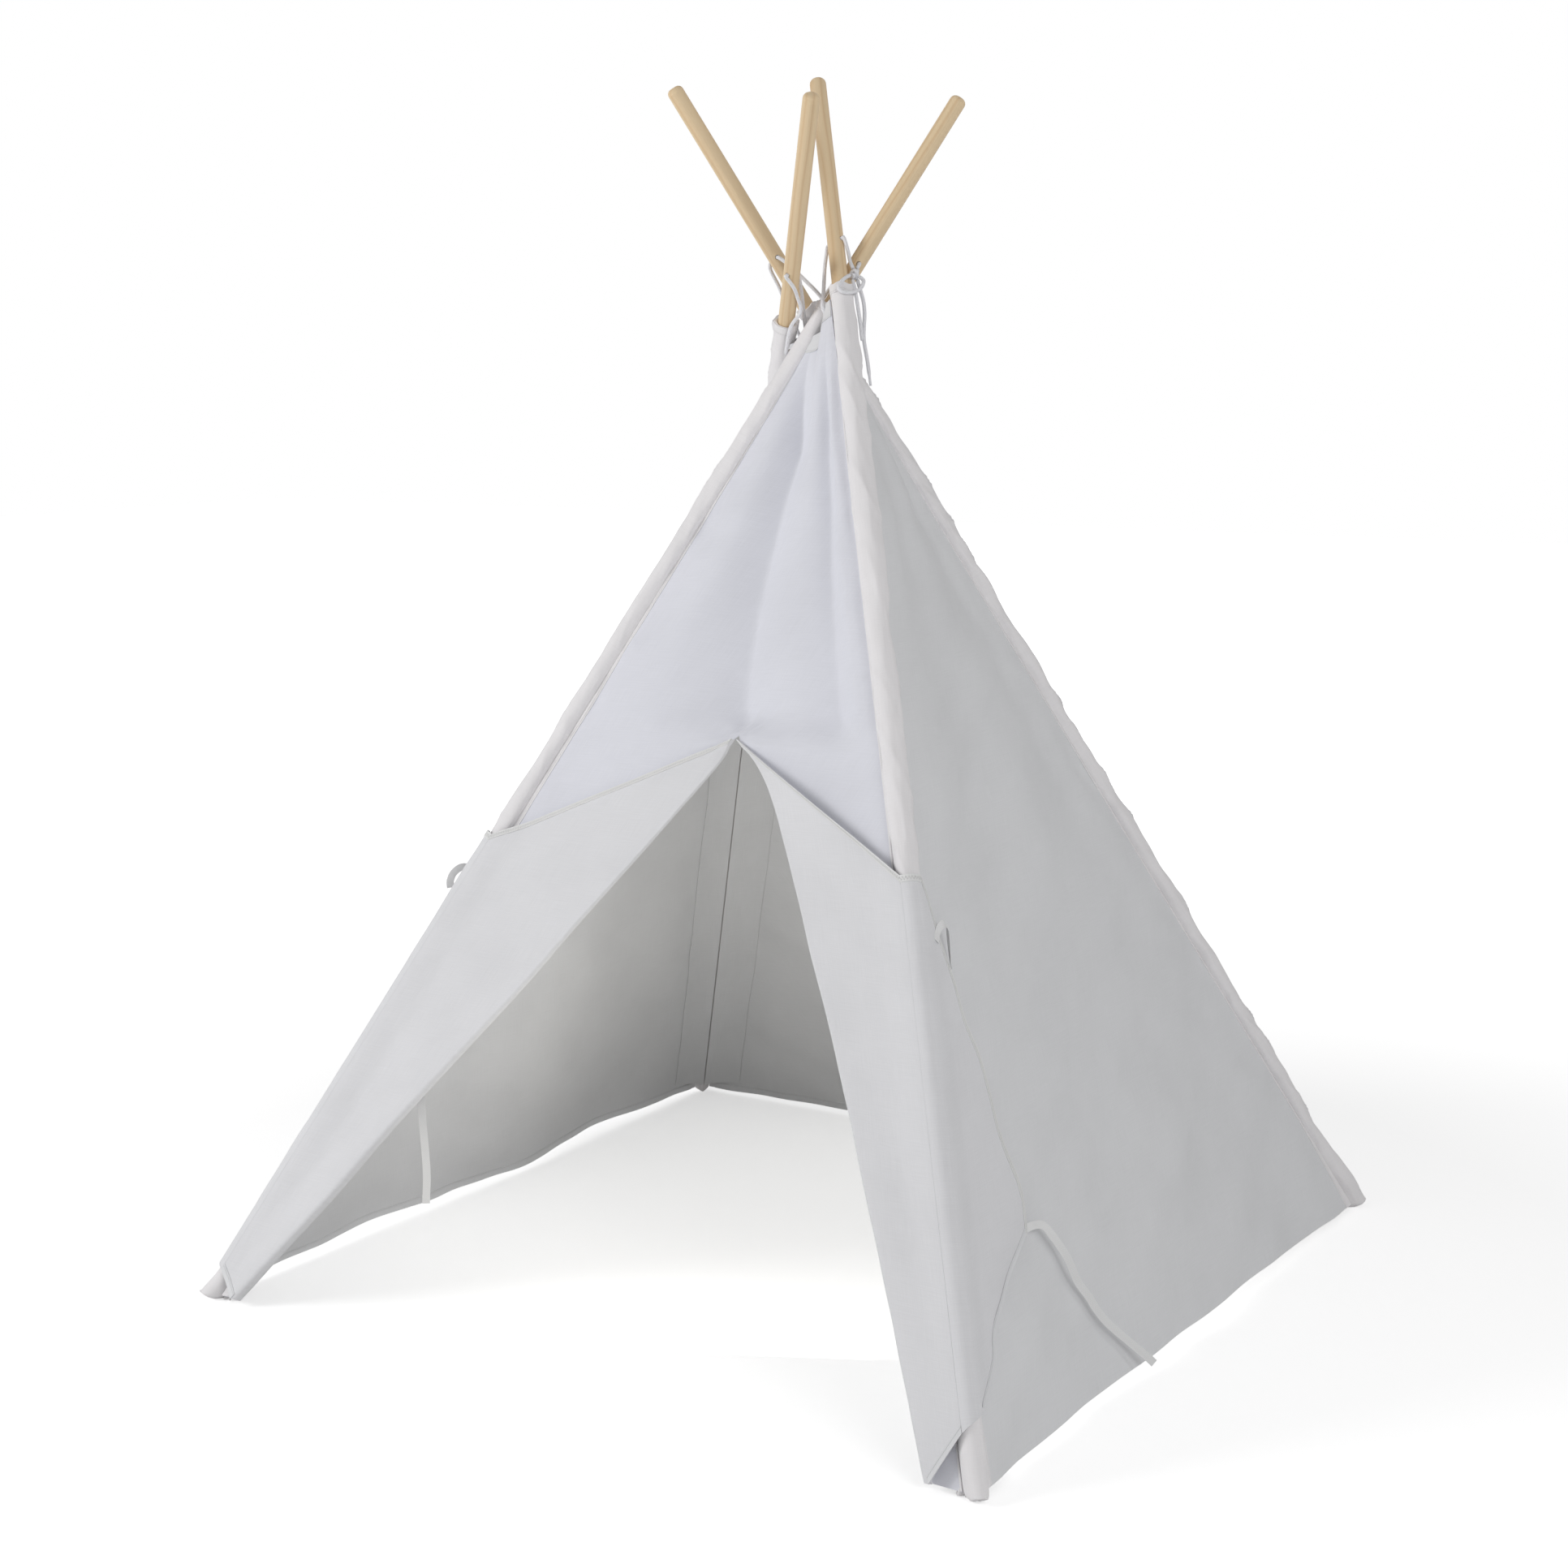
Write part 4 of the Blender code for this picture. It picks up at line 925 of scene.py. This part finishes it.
def add_seam(sheets, panel, pole):
    """The sewn edge of the sleeve on a panel, with its row of stitches."""
    count = 170

    def place(row, column):
        along = mix(panel.bottom + 0.001, panel.top - 0.001, row / count)
        reach = seam_reach(panel, pole, along) + 0.0006 * noise.noise(Vector((along * 30, panel.seed, 5)))
        across = mix(panel.edge(along, pole, 0.0004), reach, column / 3)
        lift = 0.00125 - 0.0003 * (column == 3)
        return panel.from_pole(pole, along, across, lift), (along, SEAM_WIDTH - (reach - across))

    rows, maps = grid(count + 1, 4, place)
    if pole is panel.right:
        rows, maps = turned(rows, maps)
    sheets.add(rows, grid_normals(rows), maps, SEAM_CLOTH, 1)


def add_band(sheets, edge, inner, width, lift, normals, slot, map_width, thickness=BAND_CLOTH):
    """A band sewn along an edge: from the edge's points towards the inner ones."""
    rows, maps = [], []
    run = 0
    offsets = (0.0, 0.4, 0.8, 1.0)
    for index, (point, target, normal) in enumerate(zip(edge, inner, normals)):
        aside = (target - point).normalized()
        if index:
            run += (point - edge[index - 1]).length
        rows.append([point + aside * width * offset + normal * lift for offset in offsets])
        maps.append([(run, map_width - width * (1 - offset)) for offset in offsets])
    if faces_away(rows, normals[0]):
        rows, maps = turned(rows, maps)
    sheets.add(rows, [[normal] * len(offsets) for normal in normals], maps, thickness, slot)


def half_rows(panel, pole, alongs, reach_at):
    """Rows of one half of a panel, from its pole's seam to where it meets the other half, with one column
    more beyond, for its normals."""
    rows, maps = [], []
    for share, along in alongs:
        edge = panel.edge(along, pole)
        reach = reach_at(along)
        line, uv = [], []
        for column in range(HALF_COLUMNS + 2):
            across = edge + (reach - edge) * column / HALF_COLUMNS
            from_left = across if pole is panel.left else panel.width(along) - across
            bow_at = min(max(from_left / panel.width(along), 0), 1)
            raised = along + HEM_BOW * 4 * bow_at * (1 - bow_at) * (1 - share)
            peak = 0
            if panel.name == "front" and share > 0.8:
                peak = smooth_step((share - 0.8) / 0.2) * smooth_step((bow_at - 0.44) / 0.22)
            raised += FRONT_PEAK * peak
            line.append(panel.from_pole(pole, raised, across, 0.005 * peak * smooth_step((1 - bow_at) * 5)))
            uv.append((from_left, raised))
        rows.append(line)
        maps.append(uv)
    return rows, maps


def make_half(panel, pole, alongs, reach_at):
    rows, maps = half_rows(panel, pole, alongs, reach_at)
    inner_first = pole is panel.right
    if inner_first:
        rows, maps = turned(rows, maps)
    normals = grid_normals(rows)
    kept, hem = (slice(1, None), slice(0, -1)) if inner_first else (slice(0, -1), slice(1, None))
    rows, maps, normals = ([line[kept] for line in lines] for lines in (rows, maps, normals))
    sheets = Sheets()
    sheets.add(rows, normals, maps)
    add_seam(sheets, panel, pole)
    add_band(sheets, rows[0][hem], rows[2][hem], BAND_WIDTH, -0.0010, normals[0][hem], 2, BAND_WIDTH)
    for lift in (0.0010, -0.0010):
        add_band(sheets, rows[-1][hem], rows[-3][hem], 0.026, lift, normals[-1][hem], 2, BAND_WIDTH)
    cloth = "front" if panel.name == "front" else "side"
    obj = sheets.make(panel.name + "_panel_cloth_" + pole.name,
                      [MATERIALS[cloth], MATERIALS["seam"], MATERIALS["band"]])
    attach(obj, "frame_" + pole.name)
    width = max((line[-1] - line[0]).length for line in rows)
    grid_area(rows)
    gather(obj, panel, pole)
    return obj


def make_panels():
    for name in ("right", "back", "left"):
        panel = PANELS[name]
        count = 150
        alongs = [(row / count, mix(panel.bottom, panel.top, row / count)) for row in range(count + 1)]
        halves = [
            make_half(panel, pole, alongs, lambda along: panel.width(along) / 2)
            for pole in (panel.left, panel.right)
        ]
        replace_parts(halves[0], name + "_panel")
    front = PANELS["front"]
    below, above = 92, 66
    alongs = [(row / below * 0.6, mix(front.bottom, DOOR_ALONG, row / below)) for row in range(below)]
    alongs += [(mix(0.6, 1, row / above), mix(DOOR_ALONG, front.top, row / above)) for row in range(above + 1)]
    halves = [
        make_half(front, POLES["front_" + side], alongs, lambda along: crease_across(along, side))
        for side in ("left", "right")
    ]
    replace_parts(halves[0], "front_panel")


make_panels()


# ---- Sleeves ----
def sleeve_radius(pole, seed, distance, turn):
    """The sleeve's outer radius: loose over its outer side, in soft waves and slanting creases."""
    outer = smooth_step((math.cos(turn) + 0.46) / 0.75)
    wave = noise.noise(Vector((seed, distance * 10, math.cos(turn + 0.6))))
    fine = noise.noise(Vector((seed + 9, distance * 30 + turn * 0.5, math.sin(turn) * 1.5)))
    slant = noise.noise(Vector((seed + 5, distance * 15 + math.sin(turn) * 0.75, math.cos(turn) * 0.5)))
    ridge = max(0, 1 - abs(slant) * 4.5) ** 2
    open_side = 1.0
    if pole.name.startswith("front"):
        open_side = mix(0.25, 1.0, smooth_step((distance - 0.70) / 0.06))
    size = LOOSENESS[pole.name]
    if pole.name == "front_right":
        size *= 1 - 0.75 * smooth_step((distance - pole.top + 0.09) / 0.07)
    loose = 0.0006 + open_side * size * (0.0014 + 0.0030 * wave + 0.0011 * fine + 0.0017 * ridge)
    return SLEEVE_RADIUS + outer * max(loose, -0.0008)


def make_sleeve(pole, seed):
    outward = pole.square(Vector((pole.foot.x, pole.foot.y, 0)))
    aside = pole.along.cross(outward)
    sides = 40
    rings, runs = [], []

    def away(turn):
        return outward * math.cos(turn) + aside * math.sin(turn)

    def ring(radius_at, distance_at, run):
        line = []
        for side in range(sides):
            turn = side / sides * math.tau
            reach = radius_at(turn)
            line.append(pole.at(distance_at(turn, reach)) + away(turn) * reach)
        rings.append(line)
        runs.append(run)

    def floor_at(height):
        return lambda turn, reach: max(0.0, (height - away(turn).z * reach) / pole.along.z)

    def ragged(turn, low=0.0):
        return pole.top - low + 0.0035 * noise.noise(Vector((seed * 3, math.cos(turn) * 1.3, math.sin(turn) * 1.3)))

    def pocket(height):
        """The flattened pocket round the pole's end: long towards the outside, thin at the floor."""
        low = 1 - smooth_step(height / POCKET_HEIGHT)
        thick = SLEEVE_RADIUS - 0.0095 * math.exp(-((height / 0.0042) ** 1.5))

        def radius_at(turn):
            long = SLEEVE_RADIUS + (0.0085 if math.cos(turn) > 0 else 0.0030) * low
            round_end = 1 / math.hypot(math.cos(turn) / long, math.sin(turn) / thick)
            loose = sleeve_radius(pole, seed, height, turn) - SLEEVE_RADIUS
            return round_end + loose * (1 - low)

        return radius_at

    ring(lambda turn: pocket(0.0)(turn) * 0.93, floor_at(0.0004), -0.001)
    count = round(pole.top / 0.0065)
    for height in (0.0008, 0.0024, 0.0042, 0.0060, 0.0085, 0.0115, 0.015, 0.020, 0.026, 0.033):
        ring(pocket(height), floor_at(height), height)
    for step in range(7, count):
        distance = pole.top * step / count
        blend = smooth_step((distance - 0.033) / 0.04)
        ring(pocket(distance), lambda turn, reach: mix(floor_at(distance)(turn, reach), distance, blend), distance)
    ring(lambda turn: sleeve_radius(pole, seed, pole.top, turn), lambda turn, reach: ragged(turn), pole.top)
    ring(lambda turn: sleeve_radius(pole, seed, pole.top, turn) - 0.0007,
         lambda turn, reach: ragged(turn) + 0.0005, pole.top + 0.001)
    ring(lambda turn: 0.0121, lambda turn, reach: ragged(turn), pole.top + 0.002)
    ring(lambda turn: SLEEVE_BORE, lambda turn, reach: pole.top - 0.03, pole.top + 0.03)
    ring(lambda turn: SLEEVE_BORE, lambda turn, reach: max(0.003, 0.012 - away(turn).z * 0.011), pole.top * 2)
    sheets = Sheets()
    sheets.wrap(rings, runs, SLEEVE_ROUND)
    turns = [side / sides * math.tau for side in range(sides + 1)]
    band, maps = [], []
    for row in range(4):
        low = mix(SLEEVE_CUFF, 0.0, row / 3)
        line = []
        for turn in turns:
            reach = sleeve_radius(pole, seed, pole.top - low, turn) + 0.0006 + 0.0003 * (row > 0)
            line.append(pole.at(ragged(turn, low) - 0.0002) + away(turn) * reach)
        band.append(line)
        run = SEAM_WIDTH - (row / 3) * SLEEVE_CUFF
        maps.append([(side / sides * SLEEVE_ROUND, run) for side in range(sides + 1)])
    sheets.add(band, [[away(turn) for turn in turns]] * 4, maps, SEAM_CLOTH, 1)
    for panel in PANELS.values():
        if pole in (panel.left, panel.right):
            add_inner_seam(sheets, panel, pole, outward)
    if pole.name.startswith("front"):
        add_tab(sheets, pole)
    obj = sheets.make("sleeve_cloth_" + pole.name,
                      [MATERIALS["sleeve"], MATERIALS["seam"], MATERIALS["side"]])
    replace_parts(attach(obj, "frame_" + pole.name), "sleeve_" + pole.name)


def add_tab(sheets, pole):
    """The small crumpled end of the seam, folded out at the foot towards the door."""
    front = PANELS["front"]
    inward = front.span(0.0).normalized() * (1 if pole is front.left else -1)
    across = inward.cross(Vector((0, 0, 1)))

    def place(row, column):
        up, out = row / 8, column / 8
        wave = 0.0030 * math.sin(out * 7 + up * 2.4) + 0.0016 * math.sin(out * 3 - up * 5)
        point = pole.at(0.006 + 0.011 * up) + inward * (0.012 + 0.0135 * out * (1 - 0.35 * up))
        point.z = 0.0016 + (0.0125 - 0.0045 * out) * up
        return point + across * (wave - 0.002), (out * 0.016, up * 0.014)

    rows, maps = grid(9, 9, place)
    sheets.add(rows, grid_normals(rows), maps, 0.0016, 0)


def add_inner_seam(sheets, panel, pole, outward):
    """The cover's corner inside: each side's edge runs on in front of the sleeve to the corner's seam."""
    rows, maps = [], []
    count, columns = 120, 10
    for row in range(count + 1):
        along = mix(panel.bottom + 0.024, panel.top, row / count)
        reach = min(FACINGS[panel.name], panel.width(along) * 0.3)
        start = panel.from_pole(pole, along, panel.edge(along, pole) + reach, -0.0014)
        end = pole.at(along) - outward * FACING_END
        end += (start - end).normalized() * 0.0012
        off = panel.normal(along) * (end - start).dot(panel.normal(along))
        shares = [column / columns for column in range(columns + 1)]
        rows.append([start.lerp(end, share) + off * (share**2 - share) for share in shares])
        maps.append([((start - end).length * (1 - share), along) for share in shares])
    if pole is panel.left:
        rows, maps = turned(rows, maps)
    sheets.add(rows, grid_normals(rows), maps, SEAM_CLOTH, 2)


for number, pole in enumerate(POLES.values()):
    make_sleeve(pole, 3.0 + 11 * number)


# ---- Door flaps ----
def flap_lift(across, crease, roll):
    bridge = min(crease, 0.050)
    rise = smooth_step((bridge - across) / bridge)
    lift = mix(roll, FLAP_LIFT, smooth_step((crease - across) / (0.030 + 3 * roll)))
    return lift + (WRAP_RADIUS - PANEL_PROUD - lift) * rise


def make_flap(side):
    front, panel, pole = PANELS["front"], PANELS[side], POLES["front_" + side]
    hem, slit = FLAP_SPANS[side]
    start, end = pole.square(front.normal(hem)), pole.square(panel.normal(hem))
    turn = start.angle(end)
    count, front_columns, wrap_columns, side_columns = 96, 30, 10, 26
    edge = smooth_route([Vector((*place, 0)) for place in FREE_EDGES[side]], 0.004)
    edge_alongs, edge_acrosses = (
        [(index / (len(edge) - 1), place[part]) for index, place in enumerate(edge)] for part in (0, 1)
    )
    rows, maps = [], []
    for row in range(count + 1):
        share = row / count
        crease_along = front.bottom + (DOOR_ALONG - POINT_GAP - front.bottom) * share
        roll = roll_at(crease_along, side)
        crease = crease_across(crease_along, side)
        middle = crease + CREASE_GAP - roll / 2
        near_hem = (1 - share) ** 3
        pole_along = hem + (slit - hem) * share + HEM_SLANTS[side][0] * near_hem
        line, uv = [], []
        for step in range(8):
            angle = math.radians(mix(-60, 90, step / 7))
            across = middle + roll * math.cos(angle)
            line.append(front.from_pole(pole, crease_along, across, roll * (0.866 + math.sin(angle))))
            uv.append((middle + roll * math.radians(90) - roll * math.radians(angle + 90), crease_along))
        for column in range(1, front_columns):
            inward = column / front_columns
            along = mix(crease_along, pole_along, inward)
            across = middle * (1 - inward)
            swell = noise.noise(Vector((across * 8 + panel.seed, along * 5, 2.5)))
            swell = 0.004 * max(0, swell + 0.15) * math.sin(math.pi * inward)
            swell += 0.010 * math.sin(math.pi * inward) * smooth_step((share - 0.8) / 0.2) * (side == "right")
            line.append(front.from_pole(pole, along, across, flap_lift(across, middle, roll * 1.866) + swell))
            uv.append((across, along))
        over_count = len(line)
        for column in range(wrap_columns):
            part = column / wrap_columns
            pole_along = hem + (slit - hem) * share + mix(*HEM_SLANTS[side], part) * near_hem
            away = (start * math.sin((1 - part) * turn) + end * math.sin(part * turn)) / math.sin(turn)
            swell = 0.0016 * max(0, noise.noise(Vector((pole_along * 16, part * 1.2, panel.seed)))) + 0.0004
            line.append(pole.at(pole_along) + away * (WRAP_RADIUS + swell * math.sin(math.pi * part)))
            uv.append((-WRAP_MAP_RADIUS * turn * part, pole_along))
        pole_along = hem + (slit - hem) * share + HEM_SLANTS[side][1] * near_hem
        edge_along = between(edge_alongs, share)
        edge_across = between(edge_acrosses, share)
        for column in range(side_columns + 1):
            part = column / side_columns
            along = mix(pole_along, edge_along, part) + SLIT_BOW * 4 * part * (1 - part) * share
            across = edge_across * part
            lift = FLAP_LIFT
            lift += (WRAP_RADIUS - PANEL_PROUD - lift) * smooth_step(1 - across / 0.050)
            swell = noise.noise(Vector((across * 11 + panel.seed, along * 7, 6.5)))
            lift += 0.0045 * max(0, swell + 0.2) * smooth_step(across / 0.05)
            line.append(panel.from_pole(pole, along, across, lift))
            uv.append((-WRAP_MAP_RADIUS * turn - across, along))
        rows.append(line)
        maps.append(uv)
    flipped = faces_away(rows, front.normal(0.5), 40, 11)
    normals = grid_normals(rows, flipped)
    for name, kept, skip, body, owner in (
        ("front", slice(0, over_count + 1), 7, "flap_" + side, front),
        ("side", slice(over_count, None), 0, "flap_" + side + "_side", panel),
    ):
        part_rows, part_normals, part_maps = ([line[kept] for line in lines] for lines in (rows, normals, maps))
        if name == "front":
            for line in part_rows:
                line[-1] = line[-1] + (line[-2] - line[-1]).normalized() * LEAF_GAP
        lists = [part_rows, part_normals, part_maps]
        sheets = Sheets()
        sheets.add(*(turned(*lists) if flipped else lists))
        add_band(sheets, part_rows[-1][skip:], part_rows[-2][skip:], HEM_WIDTH, 0.0011, part_normals[-1][skip:],
                 1, HEM_WIDTH, SEAM_CLOTH)
        if name == "side":
            edge, inner = ([line[column] for line in part_rows[1:]] for column in (-1, -3))
            ups = [line[-1] for line in part_normals[1:]]
        else:
            edge, inner, ups = part_rows[0][skip:], part_rows[1][skip:], part_normals[0][skip:]
        add_band(sheets, edge, inner, HEM_WIDTH, 0.0010, ups, 2, BAND_WIDTH)
        obj = sheets.make("door_cloth_" + side + "_" + name,
                          [MATERIALS["flap"], MATERIALS["hem"], MATERIALS["band"]])
        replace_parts(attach(obj, body), "door_" + side + "_" + name)
        area = grid_area(part_rows)
        width = max((line[-1] - line[0]).length for line in part_rows)
        gather(obj, owner, pole)


for side in ("left", "right"):
    make_flap(side)


# ---- Poles and eyelets ----
for number, pole in enumerate(POLES.values()):
    finish_node("pole_" + pole.name, pine("pine_" + pole.name, pole, 1.0 + number))
for name in ("right", "back", "left"):
    finish_node("eyelet_" + name, MATERIALS["eyelet"])


# ---- Floor and light ----
def stage_material():
    nodes = material_nodes("stage_floor")
    far = nodes.vector("LENGTH", nodes.add("ShaderNodeNewGeometry").outputs["Position"])["Value"]
    level = nodes.add(
        "ShaderNodeMapRange", {"Value": far, "From Min": 1.1, "From Max": 4.0, "To Min": 0.50, "To Max": 1.0}
    ).outputs[0]
    glow = nodes.add("ShaderNodeEmission",
                     {"Color": (1, 1, 1, 1), "Strength": nodes.math("MULTIPLY", nodes.seen(), level)})
    material = nodes.finish({"Base Color": (0.86, 0.86, 0.86, 1), "Roughness": 1.0, "Specular IOR Level": 0.0})
    matt = nodes.tree.nodes["Principled BSDF"]
    both = nodes.add("ShaderNodeAddShader", {0: matt.outputs[0], 1: glow.outputs[0]})
    nodes.fill(nodes.tree.nodes["Material Output"], {0: both.outputs[0]})
    return material


def make_stage():
    data = bpy.data.meshes.new("stage_floor")
    size = 14
    data.from_pydata([(-size, -size, 0), (size, -size, 0), (size, size, 0), (-size, size, 0)], [], [(0, 1, 2, 3)])
    data.materials.append(stage_material())
    add_object("stage_floor", data)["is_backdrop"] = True


def make_light(name, place, target, size, power, colour=(1, 1, 1)):
    data = bpy.data.lights.new(name, "AREA")
    data.shape = "DISK"
    data.size = size
    data.energy = power
    data.color = colour
    light = add_object(name, data)
    light.location = place
    light.rotation_mode = "QUATERNION"
    light.rotation_quaternion = (Vector(place) - Vector(target)).to_track_quat("Z", "Y")
    light.visible_camera = False


def make_world():
    nodes = Nodes(bpy.data.worlds.new("studio"))
    strength = nodes.add("ShaderNodeMapRange", {"Value": nodes.seen(), "To Min": 0.36, "To Max": 1.0}).outputs[0]
    nodes.fill(nodes.tree.nodes["Background"], {"Color": (1, 1, 1, 1), "Strength": strength})
    bpy.context.scene.world = nodes.owner


make_stage()
make_world()
# Two small lamps stand in for light off the floor, which the glowing floor gives too little of
BOUNCE = (1.0, 0.97, 0.88)
make_light("key", (-3.2, -3.4, 2.0), (0, 0, 0.6), 2.2, 96)
make_light("rim", (4.4, 0.6, 2.8), (0, 0, 0.7), 1.0, 13)
make_light("fill", (3.4, -2.2, 2.2), (0, 0, 0.7), 2.2, 36)
make_light("floor_bounce", (0.05, 0.05, 0.03), (0.0, 0.2, 1.0), 0.7, 0.70, BOUNCE)
make_light("door_bounce", (0.10, -0.40, 0.15), (-0.30, 0.42, 0.15), 0.5, 0.72, BOUNCE)
bpy.context.scene.view_settings.view_transform = "Standard"

boxes = {"cad": cad_box, "visual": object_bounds()}
{name: [[float(value) for value in corner] for corner in box] for name, box in boxes.items()}
